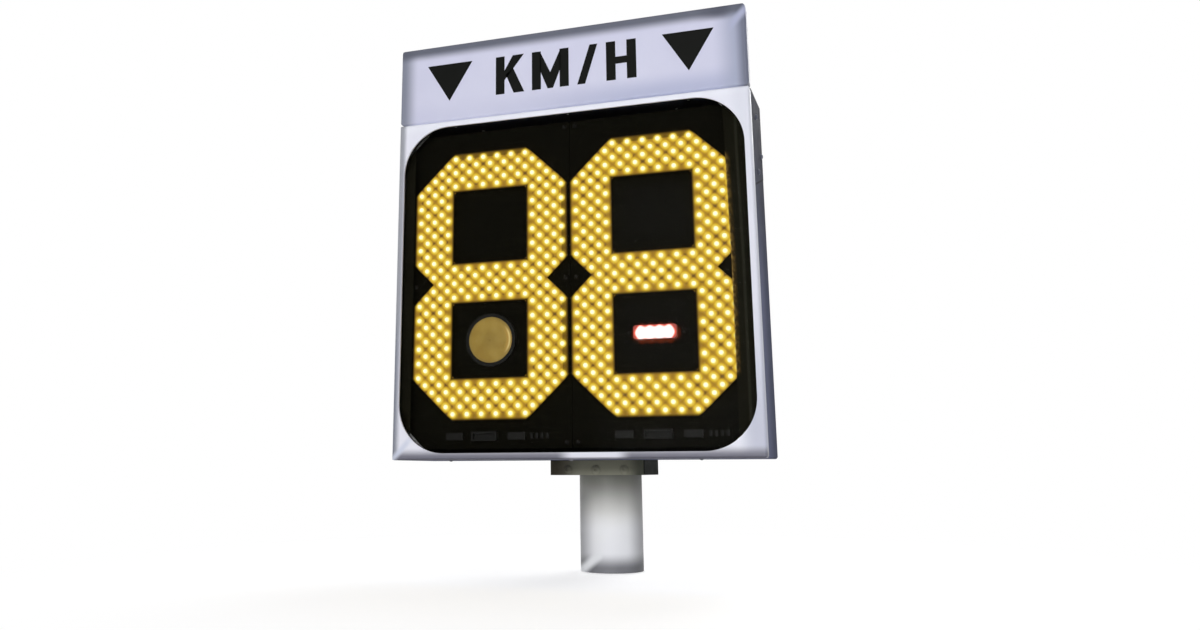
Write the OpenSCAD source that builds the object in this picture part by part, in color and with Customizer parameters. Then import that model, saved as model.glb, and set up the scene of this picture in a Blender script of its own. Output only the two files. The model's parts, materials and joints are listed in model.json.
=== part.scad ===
// Radar speed display sign on a pole: a two-digit amber LED display in a
// folded sheet cabinet with a header plate, clamped to a 76 mm steel pole.
// The frame has its origin at the pole's lower end, on its axis, +Z up,
// and the display looks along -Y.

/* [Face and header] */
// Width of the face panel
face_w = 416; // [404:1:440]
// Height of the face panel
face_h = 396.5; // [390:0.5:420]
// Height of the header plate that stands on the face panel
header_h = 97; // [60:1:140]
// Thickness of the folded aluminium sheet
sheet_t = 2; // [1.5:0.1:2.5]
// Outside radius of the sheet's bends
bend_r = 3; // [2.7:0.1:5]
// Depth of the face panel's folded edge
return_d = 15; // [12:1:20]
// Depth of the header plate's folded edge
header_return = 15; // [14:1:20]
// Corner radius of the header plate seen from the front
header_corner_r = 6; // [3:0.5:12]
// How far the header plate's front lies behind the face's front
header_back = 0.5; // [0:0.1:0.9]

/* [Window] */
// Width of the face panel beside the window
frame_side = 7.5; // [7:0.5:12]
// Height of the face panel above and below the window
frame_end = 7.25; // [7:0.25:12]
// Corner radius of the window
window_r = 55; // [40:1:70]
// Thickness of the smoked window pane
pane_t = 3; // [2:0.5:4]
// Thickness of the seal between panel and pane
seal_t = 2.5; // [1.5:0.5:3]
// How far the seal and the pane reach past the window's edge
pane_lap = 4.2; // [3:0.1:4.2]

/* [Cabinet] */
// Depth of the cabinet from the face to its rear wall
cabinet_d = 114; // [100:1:150]
// Extra depth of the wiring bay behind the cabinet's upper part
bay_d = 28; // [22:1:40]
// Height of the rain cap's lower edge at the face
seam_front = 289; // [260:1:310]
// Height of the rain cap's lower edge at the rear wall
seam_rear = 321; // [300:1:335]
// Rise of the roof from the face to the back of the bay
roof_rise = 14; // [4:1:25]
// Step from the cabinet's side in to the bay's side
bay_step = 4; // [3:0.5:8]
// Radius of the cabinet's long edges
edge_r = 3; // [2.5:0.5:5]
// Running gap between folded parts that slide together
slip = 0.3; // [0.2:0.1:0.5]

/* [Display] */
// Height between the centres of a digit's top and bottom LED rows
digit_h = 300; // [270:1:306]
// Space from the window's side to the centres of the nearest LEDs
display_side = 18.5; // [17:0.5:24]
// LED columns in one digit
led_cols = 21; // [21:2:21]
// LED rows in one digit
led_rows = 37; // [37:2:37]
// LED rows or columns across one stroke of a digit
stroke = 5; // [5:1:5]
// Depth of the notch in a digit's waist, in LED columns
waist_notch = 3; // [2:1:3]
// Columns from one digit to the next
digit_step = 22; // [22:1:22]
// Height of the display's centre above the centre of the face
display_up = 2.25; // [-2:0.25:5]
// Diameter of an LED's body
led_d = 5; // [3:0.5:5]
// Height of an LED over the board
led_h = 8.7; // [7:0.1:9]
// Gap between the pane and the tips of the LEDs
led_gap = 1.5; // [1:0.5:4]
// Thickness of the LED boards
board_t = 1.6; // [1:0.2:2]
// Space from the outline of the face to the LED boards
board_edge = 12.25; // [11.5:0.25:16]
// Gap between the two LED boards
board_gap = 0.5; // [0.5:0.5:1]
// Length of the spacers behind the LED boards
spacer_l = 10; // [6:1:16]
// Thickness of the chassis plate
chassis_t = 1.5; // [1:0.5:3]

/* [Radar and alert light] */
// Diameter of the radar lens
lens_d = 52; // [40:1:54]
// Wall of the radar housing round the lens
radar_wall = 4; // [2:0.5:4]
// Depth of the radar housing
radar_l = 46; // [36:1:56]
// Length of the alert light bar
alert_w = 47; // [44:1:60]
// Height of the alert light bar
alert_h = 15; // [12:1:20]
// Depth of the alert light bar
alert_d = 6; // [4:0.5:7]
// Number of LEDs in the alert light
alert_count = 4; // [3:1:4]

/* [Pole and clamps] */
// Outside diameter of the pole
pole_d = 76.1; // [70:0.1:80]
// Wall of the pole
pole_wall = 3.2; // [2:0.1:5]
// Length of pole below the cabinet
pole_below = 130; // [100:1:300]
// Distance from the face to the pole's axis
pole_back = 184; // [180:1:200]
// Outside width of the mounting channel
channel_w = 114; // [112:1:130]
// Depth of the mounting channel
channel_d = 83; // [75:1:90]
// Thickness of the mounting channel
channel_t = 4; // [3:0.5:5]
// How far the channel reaches below the cabinet
channel_drop = 17; // [16:1:30]
// Length of the mounting channel
channel_l = 296; // [280:1:300]
// Height of a pole saddle
saddle_h = 34; // [30:1:50]
// Thickness of the clamp straps behind the pole
strap_t = 6; // [4:0.5:8]
// Diameter of the clamp bolts
bolt_d = 6; // [5:0.5:6]

/* [Hidden] */
$fn = 48;
eps = 0.01;
fit = 0.15;

half_w = face_w / 2;
window_w = face_w - 2 * frame_side;
window_h = face_h - 2 * frame_end;
header_d = header_back + sheet_t;
cap_front = return_d + 1;
rear_d = cabinet_d + bay_d;
pane_d = sheet_t + seal_t;
board_d = pane_d + pane_t + led_gap + led_h;
neck_start = pane_d + pane_t + 0.5;
edge_screw_y = 12;
chassis_d = board_d + board_t + spacer_l;
pillar_d = chassis_d + chassis_t;
pillar_l = cabinet_d - sheet_t - pillar_d;
led_row = digit_h / (led_rows - 1);
mid_row = (led_rows - 1) / 2;
display_z = face_h / 2 + display_up;
led_col = (window_w / 2 - display_side) / (digit_step / 2 + (led_cols - 1) / 2);
digit_x = led_col * digit_step / 2;
hole_z = display_z - led_row * (mid_row - stroke + 1 + floor(stroke / 2)) / 2;
board_w = half_w - board_edge - board_gap / 2;
board_h = face_h - 2 * board_edge;
board_x = (board_w + board_gap) / 2;

function roof(d) = face_h + sheet_t + roof_rise * (d - cap_front) / (rear_d - cap_front);
function seam(d) = seam_front + (seam_rear - seam_front) * (d - cap_front) / (cabinet_d - cap_front);

// Depth d counts from the face's front plane and z from the face's lower edge.
module at_face() {
    translate([0, -pole_back, pole_below]) children();
}

// A flat outline in x and z, made d0 to d0 + t deep.
module slab(d0, t) {
    translate([0, d0 + t, 0]) rotate([90, 0, 0]) linear_extrude(t) children();
}

// An outline in depth and z, made as wide as twice half.
module across(half) {
    translate([-half, 0, 0]) rotate([90, 0, 90]) linear_extrude(2 * half) children();
}

module rounded_rect(w, h, r) {
    square([w - 2 * r, h], center = true);
    square([w, h - 2 * r], center = true);
    for (sx = [-1, 1], sz = [-1, 1])
        translate([sx * (w / 2 - r), sz * (h / 2 - r)]) circle(r);
}

// A rectangle from the origin whose two front corners are rounded.
module bent_profile(len, depth, r) {
    translate([r, 0]) square([len - 2 * r, depth]);
    translate([0, r]) square([len, depth - r]);
    for (u = [r, len - r]) translate([u, r]) circle(r);
}

module pan_block(w, h, depth, r, corner) {
    intersection() {
        slab(0, depth) translate([0, h / 2]) rounded_rect(w, h, corner);
        translate([-w / 2, 0, 0]) linear_extrude(h) bent_profile(w, depth, r);
        across(w) mirror([1, -1]) bent_profile(h, depth, r);
    }
}

// A shallow sheet tray that opens to the rear, with its bends rounded.
module pan(w, h, depth, corner) {
    difference() {
        pan_block(w, h, depth, bend_r, corner);
        translate([0, sheet_t, sheet_t])
            pan_block(w - 2 * sheet_t, h - 2 * sheet_t, depth, bend_r - sheet_t, corner - sheet_t);
    }
}

// A round rod along the depth, from d0 backwards.
module rod(d0, len, r) {
    translate([0, d0 + len, 0]) rotate([90, 0, 0]) cylinder(h = len, r = r);
}

module tube(d0, len, r_out, r_in) {
    difference() {
        rod(d0, len, r_out);
        rod(d0 - 1, len + 2, r_in);
    }
}

// A round-headed socket screw that points to the rear, head at the front of d0.
module socket_screw(d0, shank_d, len) {
    head_r = shank_d * 0.9;
    head_h = shank_d * 0.6;
    crown = head_r * 1.1;
    translate([0, d0, 0]) rotate([90, 0, 0]) difference() {
        rotate_extrude() union() {
            intersection() {
                translate([0, head_h - crown]) circle(crown);
                square([head_r, head_h]);
            }
            translate([0, -len]) square([shank_d / 2, len + eps]);
        }
        translate([0, 0, head_h * 0.45]) cylinder(h = head_h, r = shank_d * 0.32, $fn = 6);
    }
}

module hex_nut(d0, thread_d, h) {
    difference() {
        translate([0, d0 + h, 0]) rotate([90, 0, 0]) cylinder(h = h, r = thread_d, $fn = 6);
        rod(d0 - 1, h + 2, thread_d / 2 + fit);
    }
}

// A hex-headed bolt with its washer, head at the rear, pointing to the front.
module hex_bolt_forward(d0, thread_d, len) {
    rod(d0, thread_d * 0.25, thread_d);
    translate([0, d0 + thread_d * 0.9, 0]) rotate([90, 0, 0])
        cylinder(h = thread_d * 0.65 + eps, r = thread_d * 0.95, $fn = 6);
    rod(d0 - len, len + eps, thread_d / 2);
}

// Face panel, window and header

clip_x = half_w - 11;
clip_z = face_h / 2 - 11;
stud_r = 2;
panel_screw_x = [68 - half_w, 0, half_w - 68];
panel_screw_d = 3;

module at_corners(x, z) {
    for (sx = [-1, 1], sz = [-1, 1]) translate([sx * x, 0, face_h / 2 + sz * z]) children();
}

module window_outline(grow) {
    translate([0, face_h / 2])
        rounded_rect(window_w + 2 * grow, window_h + 2 * grow, window_r + grow);
}

module front_panel() {
    color("lavender") at_face() {
        difference() {
            pan(face_w, face_h, return_d, edge_r);
            slab(-1, sheet_t + 2) window_outline(0);
            for (x = panel_screw_x) translate([x, edge_screw_y, -1])
                cylinder(h = face_h + 2, r = panel_screw_d / 2 + fit);
        }
        at_corners(clip_x, clip_z) rod(sheet_t - eps, seal_t + pane_t + 6.5, stud_r);
    }
}

module window_seal() {
    color("black") at_face() difference() {
        slab(sheet_t, seal_t) window_outline(pane_lap);
        slab(sheet_t - 1, seal_t + 2) window_outline(0);
    }
}

module window_pane() {
    color([0.05, 0.05, 0.05, 0.5]) at_face() slab(pane_d, pane_t) window_outline(pane_lap);
}

// A bent plate in each corner presses on the pane from behind.
clip_t = 1.5;
module corner_clips() {
    color("silver") at_face() for (sx = [-1, 1], sz = [-1, 1])
        translate([sx * clip_x, 0, face_h / 2 + sz * clip_z]) mirror([sx < 0 ? 1 : 0, 0, 0])
            mirror([0, 0, sz < 0 ? 1 : 0]) difference() {
                slab(pane_d + pane_t, clip_t)
                    polygon([[6, 6], [6, -24], [0, -27], [-27, 0], [-24, 6]]);
                rod(pane_d, pane_t + 4, stud_r + fit);
            }
}

module clip_nuts() {
    color("silver") at_face() at_corners(clip_x, clip_z)
        hex_nut(pane_d + pane_t + clip_t, 2 * stud_r, 3.2);
}

// Screws under the face panel that hold it to the cabinet's neck.
module panel_screws() {
    color("silver") at_face() for (x = panel_screw_x) translate([x, edge_screw_y, 0])
        rotate([90, 0, 0]) socket_screw(0, panel_screw_d, 2 * sheet_t + slip + 1.5);
}

bracket_x = half_w - 88;
bracket_w = 30;
bracket_t = 3;
bracket_top = face_h + header_h * 0.82;
bracket_foot = 74;
bracket_holes = [face_h + header_h * 0.35, face_h + header_h * 0.7];
bracket_foot_hole = 52;
roof_tilt = atan(roof_rise / (rear_d - cap_front));

module header_plate() {
    color("lightsteelblue") at_face() {
        difference() {
            translate([0, header_back, face_h]) pan(face_w, header_h, header_return, header_corner_r);
            for (x = panel_screw_x) translate([x, edge_screw_y, face_h - 1])
                cylinder(h = sheet_t + 2, r = panel_screw_d / 2 + fit);
        }
        for (x = [-bracket_x, bracket_x], z = bracket_holes)
            translate([x, 0, z]) rod(header_d - eps, bracket_t + 6, stud_r);
    }
}

module header_brackets() {
    low = roof(cap_front) + 0.1;
    foot = roof(bracket_foot) + 0.1;
    corner = bend_r - sheet_t + 0.2;
    color("silver") at_face() for (x = [-bracket_x, bracket_x]) translate([x, 0, 0]) difference() {
        across(bracket_w / 2) polygon([
            [header_d, bracket_top], [header_d + bracket_t, bracket_top],
            [header_d + bracket_t, low + bracket_t], [cap_front, low + bracket_t],
            [bracket_foot, foot + bracket_t], [bracket_foot, foot], [cap_front, low],
            [header_d + corner, low], [header_d, low + corner]]);
        for (z = bracket_holes) translate([0, 0, z]) rod(0, 12, stud_r + fit);
        translate([0, bracket_foot_hole, roof(bracket_foot_hole)]) rotate([roof_tilt, 0, 0])
            cylinder(h = 20, r = stud_r + fit, center = true);
    }
}

// Nuts behind the header, screws in the bracket feet and in the header's lower edge.
module header_screws() {
    color("silver") at_face() {
        for (x = [-bracket_x, bracket_x]) {
            for (z = bracket_holes)
                translate([x, 0, z]) hex_nut(header_d + bracket_t, 2 * stud_r, 3.2);
            translate([x, bracket_foot_hole, roof(bracket_foot_hole)]) rotate([roof_tilt, 0, 0])
                translate([0, 0, bracket_t + 0.1]) rotate([-90, 0, 0])
                    socket_screw(0, 2 * stud_r, bracket_t + 2 * sheet_t + 1);
        }
        for (x = panel_screw_x) translate([x, edge_screw_y, face_h + sheet_t])
            rotate([-90, 0, 0]) socket_screw(0, panel_screw_d, 3 * sheet_t + slip + 1);
    }
}

// Cabinet, rain cap and wiring bay

shell_half = half_w - sheet_t;
neck_half = shell_half - slip;
neck_low = sheet_t + slip;
neck_high = face_h - sheet_t - slip;
pillar_x = [20 - half_w, half_w - 20];
pillar_z = [36, 160, face_h - 34.5];
pass_x = half_w - 58;
pass_z = 352;
pass_r = 12;
rivet_x = 30;
rivet_z = [60, 196];
rivet_r = 5;
psu_at = [108 - half_w, 120];
psu_size = [129, 97, 38];
psu_pitch = [118, 84];
ctl_at = [half_w - 108, 130];
ctl_size = [150, 110, 1.6];
ctl_pitch = [140, 100];
ctl_gap = 8;
inner_stud_r = 1.5;
cap_screw_at = [[60, 315], [100, 345], [60, 380]];

// A long box with rounded edges, as deep as d0 to d1, cut to an outline in depth and z.
module wrap(half, low, high, d0, d1, r, outline) {
    intersection() {
        slab(d0, d1 - d0) translate([0, (low + high) / 2]) rounded_rect(2 * half, high - low, r);
        across(half + 1) polygon(outline);
    }
}

module lower_block(inset) {
    d0 = cap_front + inset;
    d1 = cabinet_d - inset;
    wrap(half_w - inset, inset, roof(d1) + 20, d0, d1, edge_r - inset * 0.9,
        [[d0, 0], [d1, 0], [d1, seam(d1) - inset], [d0, seam(d0) - inset]]);
}

module upper_block(inset) {
    d0 = cap_front - (inset > 0 ? 1 : 0);
    d1 = cabinet_d - inset;
    across(shell_half - inset) polygon([
        [d0, sheet_t + inset + (inset > 0 ? slip : 0)], [d1, sheet_t + inset + (inset > 0 ? slip : 0)],
        [d1, roof(d1) - sheet_t - inset], [d0, roof(d0) - sheet_t - inset]]);
}

module neck_block(inset, d0) {
    slab(d0, cap_front + sheet_t - d0) translate([0, face_h / 2])
        square([2 * (neck_half - inset), neck_high - neck_low - 2 * inset], center = true);
}

module inner_studs(at, pitch, len) {
    for (sx = [-1, 1], sz = [-1, 1])
        translate([at[0] + sx * pitch[0] / 2, 0, at[1] + sz * pitch[1] / 2])
            rod(cabinet_d - sheet_t - len, len + eps, inner_stud_r);
}

module cabinet_shell() {
    color("slategray") at_face() {
        difference() {
            union() {
                lower_block(0);
                upper_block(0);
                neck_block(0, neck_start);
            }
            lower_block(sheet_t);
            upper_block(sheet_t);
            neck_block(sheet_t, neck_start - 1);
            for (x = panel_screw_x) translate([x, edge_screw_y, 0])
                cylinder(h = face_h + sheet_t, r = panel_screw_d / 2 + fit);
            translate([pass_x, 0, pass_z]) rod(cabinet_d - 10, 20, pass_r);
            for (x = [-rivet_x, rivet_x], z = rivet_z)
                translate([x, 0, z]) rod(cabinet_d - 10, 20, rivet_r + fit);
            for (s = [-1, 1], p = cap_screw_at) translate([s * half_w, p[0], p[1]])
                rotate([0, 90, 0]) cylinder(h = 20, r = stud_r + fit, center = true);
            for (x = [-bracket_x, bracket_x])
                translate([x, bracket_foot_hole, roof(bracket_foot_hole)]) rotate([roof_tilt, 0, 0])
                    cylinder(h = 20, r = stud_r + fit, center = true);
        }
        inner_studs(psu_at, psu_pitch, 8);
        inner_studs(ctl_at, ctl_pitch, ctl_gap + ctl_size[2] + 4);
    }
}

cover_w = face_w - 56;
cover_h = 78;
cover_lap = 12;
cover_corner = 10;
gasket_t = 2;
bay_mid = (seam_rear + roof(rear_d)) / 2;
bay_screw_x = [for (k = [-1.5:1:1.5]) k * (cover_w - 20) / 3];
bay_screw_z = cover_h / 2 - 6;
gland_x = 88 - half_w;
gland_d = cabinet_d + bay_d / 2;
gland_r = 8;

module bay_block(inset) {
    d0 = cabinet_d - (inset > 0 ? 0 : eps);
    d1 = rear_d - inset;
    across(half_w - bay_step - inset) polygon([[d0, seam_rear + inset], [d1, seam_rear + inset],
        [d1, roof(d1) - inset], [d0, roof(d0) - inset]]);
}

module rain_cap() {
    d1 = cabinet_d + sheet_t;
    color("slategray") at_face() difference() {
        union() {
            across(half_w) polygon([[cap_front, seam(cap_front)], [cabinet_d, seam_rear], [d1, seam_rear],
                [d1, roof(d1)], [cap_front, roof(cap_front)]]);
            bay_block(0);
        }
        across(shell_half) polygon([[cap_front - 1, seam_front - 50], [cabinet_d, seam_front - 50],
            [cabinet_d, roof(cabinet_d) - sheet_t], [cap_front - 1, roof(cap_front - 1) - sheet_t]]);
        bay_block(sheet_t);
        slab(rear_d - 10, 20) translate([0, bay_mid])
            rounded_rect(cover_w - 2 * cover_lap, cover_h - 2 * cover_lap, cover_corner - 4);
        for (x = bay_screw_x, s = [-1, 1]) translate([x, 0, bay_mid + s * bay_screw_z])
            rod(rear_d - 10, 20, stud_r + fit);
        for (s = [-1, 1], p = cap_screw_at) translate([s * half_w, p[0], p[1]])
            rotate([0, 90, 0]) cylinder(h = 20, r = stud_r + fit, center = true);
        for (x = [-bracket_x, bracket_x])
            translate([x, bracket_foot_hole, roof(bracket_foot_hole)]) rotate([roof_tilt, 0, 0])
                cylinder(h = 20, r = stud_r + fit, center = true);
        translate([gland_x, gland_d, seam_rear - 5]) cylinder(h = 20, r = gland_r + fit);
    }
}

module cap_screws() {
    color("silver") at_face() for (s = [-1, 1], p = cap_screw_at)
        translate([s * half_w, p[0], p[1]]) rotate([0, 0, s * 90])
            socket_screw(0, 2 * stud_r, 2 * sheet_t + 2);
}

module cover_plate(d0, t, open) {
    difference() {
        slab(d0, t) translate([0, bay_mid]) rounded_rect(cover_w, cover_h, cover_corner);
        if (open)
            slab(d0 - 1, t + 2) translate([0, bay_mid])
                rounded_rect(cover_w - 2 * cover_lap, cover_h - 2 * cover_lap, cover_corner - 4);
        for (x = bay_screw_x, s = [-1, 1]) translate([x, 0, bay_mid + s * bay_screw_z])
            rod(d0 - 1, t + 2, stud_r + fit);
    }
}

module bay_gasket() {
    color("black") at_face() cover_plate(rear_d, gasket_t, true);
}

module bay_cover() {
    color("slategray") at_face() cover_plate(rear_d + gasket_t, sheet_t, false);
}

module bay_screws() {
    color("silver") at_face() for (x = bay_screw_x, s = [-1, 1])
        translate([x, rear_d + gasket_t + sheet_t, bay_mid + s * bay_screw_z]) rotate([0, 0, 180])
            socket_screw(0, 2 * stud_r, 2 * sheet_t + gasket_t + 2);
}

// Gland body, lock nut inside the bay and dome nut below.
module cable_gland() {
    color("dimgray") at_face() translate([gland_x, gland_d, seam_rear]) difference() {
        union() {
            translate([0, 0, -6]) cylinder(h = 6, r = gland_r * 1.4, $fn = 6);
            translate([0, 0, -eps - 1]) cylinder(h = sheet_t + 8, r = gland_r);
            translate([0, 0, sheet_t]) cylinder(h = 5, r = gland_r * 1.4, $fn = 6);
            translate([0, 0, -14]) cylinder(h = 8 + eps, r = gland_r * 1.2);
            translate([0, 0, -20]) cylinder(h = 6 + eps, r1 = gland_r * 0.7, r2 = gland_r * 1.2);
        }
        translate([0, 0, -14]) cylinder(h = 30, r = gland_r * 0.6);
        translate([0, 0, -21]) cylinder(h = 8, r = gland_r * 0.45);
    }
}

module wall_grommet() {
    color("black") at_face() translate([pass_x, cabinet_d - sheet_t / 2, pass_z]) rotate([90, 0, 0])
        rotate_extrude() difference() {
            translate([pass_r - 3, -sheet_t / 2 - 1.5]) square([5, sheet_t + 3]);
            translate([pass_r, -sheet_t / 2]) square([5, sheet_t]);
        }
}

// Chassis and LED boards

chassis_half = half_w - 12;
chassis_low = 12;
chassis_high = face_h - 11.5;
wire_slot_at = [60, 330];
wire_slot = [50, 20];
board_screw_x = [-board_w / 2 + 6, board_w / 2 - 6];
board_screw_z = [-board_h / 2 + 6, display_z - face_h / 2, board_h / 2 - 6];
screw_r = 1.5;
radar_at = [-digit_x, hole_z];
alert_at = [digit_x, hole_z];
radar_r = lens_d / 2 + radar_wall;
radar_front = board_d - 2;
radar_flange_r = radar_r + 9;
radar_screw_r = radar_r + 4.5;

module at_radar() {
    translate([radar_at[0], 0, radar_at[1]]) children();
}

module at_alert() {
    translate([alert_at[0], 0, alert_at[1]]) children();
}

module at_board_screws() {
    for (s = [-1, 1], x = board_screw_x, z = board_screw_z)
        translate([s * board_x + x, 0, face_h / 2 + z]) children();
}

module at_pillars() {
    for (x = pillar_x, z = pillar_z) translate([x, 0, z]) children();
}

module chassis_pillars() {
    color("silver") at_face() at_pillars() difference() {
        translate([0, pillar_d + pillar_l, 0]) rotate([90, 0, 0])
            cylinder(h = pillar_l, r = 5, $fn = 6);
        rod(pillar_d - 1, 12, screw_r + fit);
    }
}

module chassis_plate() {
    color("dimgray") at_face() difference() {
        slab(chassis_d, chassis_t) translate([0, (chassis_low + chassis_high) / 2])
            rounded_rect(2 * chassis_half, chassis_high - chassis_low, 6);
        at_pillars() rod(chassis_d - 1, 6, screw_r + fit);
        at_board_screws() rod(chassis_d - 1, 6, screw_r + fit);
        at_radar() rod(chassis_d - 1, 6, radar_r + 0.5);
        at_radar() for (a = [90, 210, 330]) rotate([0, a, 0]) translate([radar_screw_r, 0, 0])
            rod(chassis_d - 1, 6, screw_r + fit);
        for (s = [-1, 1]) slab(chassis_d - 1, 6)
            translate([s * wire_slot_at[0], wire_slot_at[1]]) rounded_rect(wire_slot[0], wire_slot[1], 6);
    }
}

module chassis_screws() {
    color("silver") at_face() at_pillars() socket_screw(chassis_d, 2 * screw_r, chassis_t + 8);
}

module board_spacers() {
    color("ivory") at_face() at_board_screws()
        tube(board_d + board_t, spacer_l, 3.2, screw_r + fit);
}

module board_screws() {
    color("silver") at_face() at_board_screws()
        socket_screw(board_d, 2 * screw_r, board_t + spacer_l + chassis_t + 1);
}

module led_board(side) {
    difference() {
        slab(board_d, board_t) translate([side * board_x, face_h / 2])
            rounded_rect(board_w, board_h, 3);
        at_board_screws() rod(board_d - 1, 4, screw_r + fit);
        if (side < 0) at_radar() rod(board_d - 1, 4, radar_r + 0.5);
        if (side > 0) at_alert() for (s = [-1, 1])
            translate([s * alert_screw_x, 0, 0]) rod(board_d - 1, 4, screw_r + fit);
    }
}

module led_board_left() {
    color("black") at_face() led_board(-1);
}

module led_board_right() {
    color("black") at_face() led_board(1);
}

// Whether the digit's lattice holds an LED at column i and row j: every second
// point of an octagon, without the waist's notches and the two holes of the 8.
function lit(i, j) =
    let (ii = min(i, led_cols - 1 - i), jj = min(j, led_rows - 1 - j), bar = floor(stroke / 2))
    (i + j) % 2 == 1
    && ii + jj >= stroke
    && ii >= waist_notch - abs(j - mid_row)
    && !(ii >= stroke && jj >= stroke && abs(j - mid_row) > bar);

module led() {
    r = led_d / 2;
    rotate([90, 0, 0]) rotate_extrude($fn = 16) union() {
        square([r + 0.45, 1]);
        square([r, led_h - r]);
        intersection() {
            translate([0, led_h - r]) circle(r, $fn = 24);
            square([r, led_h]);
        }
    }
}

module digit_leds(side) {
    for (i = [0:led_cols - 1], j = [0:led_rows - 1])
        if (lit(i, j))
            translate([side * digit_x + led_col * (i - (led_cols - 1) / 2), board_d,
                display_z + led_row * (mid_row - j)]) led();
}

module leds_left() {
    color("gold") at_face() digit_leds(-1);
}

module leds_right() {
    color("gold") at_face() digit_leds(1);
}

// Sockets and driver chips along the lower edge of each LED board.
connector_z = 26;
module board_connectors() {
    color("darkslategray") at_face() for (s = [-1, 1]) translate([s * board_x, 0, connector_z]) {
        difference() {
            translate([-18, board_d - 7, -5]) cube([30, 7, 10]);
            translate([-16, board_d - 8, -3]) cube([26, 6, 6]);
        }
        translate([-50, board_d - 2.5, -4]) cube([20, 2.5, 8]);
        translate([24, board_d - 2.5, -4]) cube([20, 2.5, 8]);
        for (k = [0:3]) translate([50 + 6 * k, board_d - 1.5, -3]) cube([3, 1.5, 6]);
    }
}

// Radar unit and alert light

module radar_housing() {
    color("black") at_face() at_radar() difference() {
        union() {
            rod(radar_front, radar_l, radar_r);
            rod(pillar_d, 3, radar_flange_r);
        }
        rod(radar_front + 4, radar_l - 7, lens_d / 2 - 2);
        rod(radar_front - 1, 5, lens_d / 2 + fit);
        for (a = [90, 210, 330]) rotate([0, a, 0]) translate([radar_screw_r, 0, 0])
            rod(pillar_d - 1, 6, screw_r + fit);
        rod(radar_front + radar_l - 5, 10, 4);
    }
}

// A shallow dome that sits on the ledge in the housing's mouth.
lens_dome_r = 130;
lens_rim = 4;
module radar_lens() {
    drop = sqrt(pow(lens_dome_r, 2) - pow(lens_d / 2, 2));
    color("darkkhaki") at_face() at_radar() translate([0, radar_front + lens_rim, 0])
        rotate([90, 0, 0]) rotate_extrude($fn = 96) intersection() {
            translate([0, lens_rim - drop]) circle(lens_dome_r, $fn = 720);
            square([lens_d / 2, 2 * lens_rim + 4]);
        }
}

module radar_board() {
    color("seagreen") at_face() at_radar() {
        rod(radar_front + radar_l - 6, 3 - eps, lens_d / 2 - 3);
        for (x = [-10, 10]) translate([x - 7, radar_front + radar_l - 7, -16])
            cube([14, 1 + eps, 32]);
    }
}

module radar_screws() {
    color("silver") at_face() at_radar() for (a = [90, 210, 330]) rotate([0, a, 0])
        translate([radar_screw_r, pillar_d + 3, 0]) rotate([0, 0, 180])
            socket_screw(0, 2 * screw_r, 3 + chassis_t + 1);
}

alert_pitch = (alert_w - 5) / alert_count;
alert_screw_x = alert_w / 2 + 6;
alert_board_w = alert_w + 24;
alert_board_h = alert_h + 10;

module at_alert_leds() {
    for (k = [0:alert_count - 1])
        translate([alert_pitch * (k - (alert_count - 1) / 2), 0, 0]) children();
}

module alert_board() {
    color("black") at_face() at_alert() difference() {
        slab(board_d - board_t, board_t) rounded_rect(alert_board_w, alert_board_h, 2);
        for (s = [-1, 1]) translate([s * alert_screw_x, 0, 0])
            rod(board_d - board_t - 1, 4, screw_r + fit);
    }
}

module alert_leds() {
    color("red") at_face() at_alert() at_alert_leds() {
        translate([-2.5, board_d - board_t - 1.2, -2.5]) cube([5, 1.2, 5]);
        intersection() {
            translate([0, board_d - board_t - 1.2, 0]) sphere(2, $fn = 32);
            translate([-3, board_d - board_t - 4.2, -3]) cube([6, 3 + eps, 6]);
        }
    }
}

// A moulded bar with a cone-shaped cup round each LED.
module alert_reflector() {
    back = board_d - board_t;
    mouth = (min(alert_pitch, alert_h - 2) - 1) / 2;
    color("gainsboro") at_face() at_alert() difference() {
        slab(back - alert_d, alert_d) rounded_rect(alert_w, alert_h, 3);
        at_alert_leds() {
            translate([0, back - 1.5, 0]) rotate([90, 0, 0])
                cylinder(h = alert_d - 1.5 + eps, r1 = 3.8, r2 = mouth);
            rod(back - 2, 3, 3.8);
        }
    }
}

module alert_lens() {
    color([0.9, 0.2, 0.2, 0.5]) at_face() at_alert()
        slab(board_d - board_t - alert_d - 1.2, 1.2) rounded_rect(alert_w, alert_h, 3);
}

module alert_screws() {
    color("silver") at_face() at_alert() for (s = [-1, 1]) translate([s * alert_screw_x, 0, 0])
        socket_screw(board_d - board_t, 2 * screw_r, 2 * board_t + 3);
}

// Power and control inside the cabinet

module power_supply() {
    back = cabinet_d - sheet_t;
    color("silver") at_face() translate([psu_at[0], 0, psu_at[1]]) difference() {
        union() {
            translate([-psu_size[0] / 2 + 12, back - psu_size[2], -psu_size[1] / 2])
                cube([psu_size[0] - 24, psu_size[2], psu_size[1]]);
            translate([-psu_size[0] / 2, back - 2, -psu_size[1] / 2])
                cube([psu_size[0], 2, psu_size[1]]);
        }
        for (sx = [-1, 1], sz = [-1, 1])
            translate([sx * psu_pitch[0] / 2, 0, sz * psu_pitch[1] / 2])
                rod(back - 5, 6, inner_stud_r + fit);
        for (x = [-40:8:40]) translate([x - 2, back - psu_size[2] - 1, -34]) cube([4, 3, 60]);
    }
}

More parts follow.
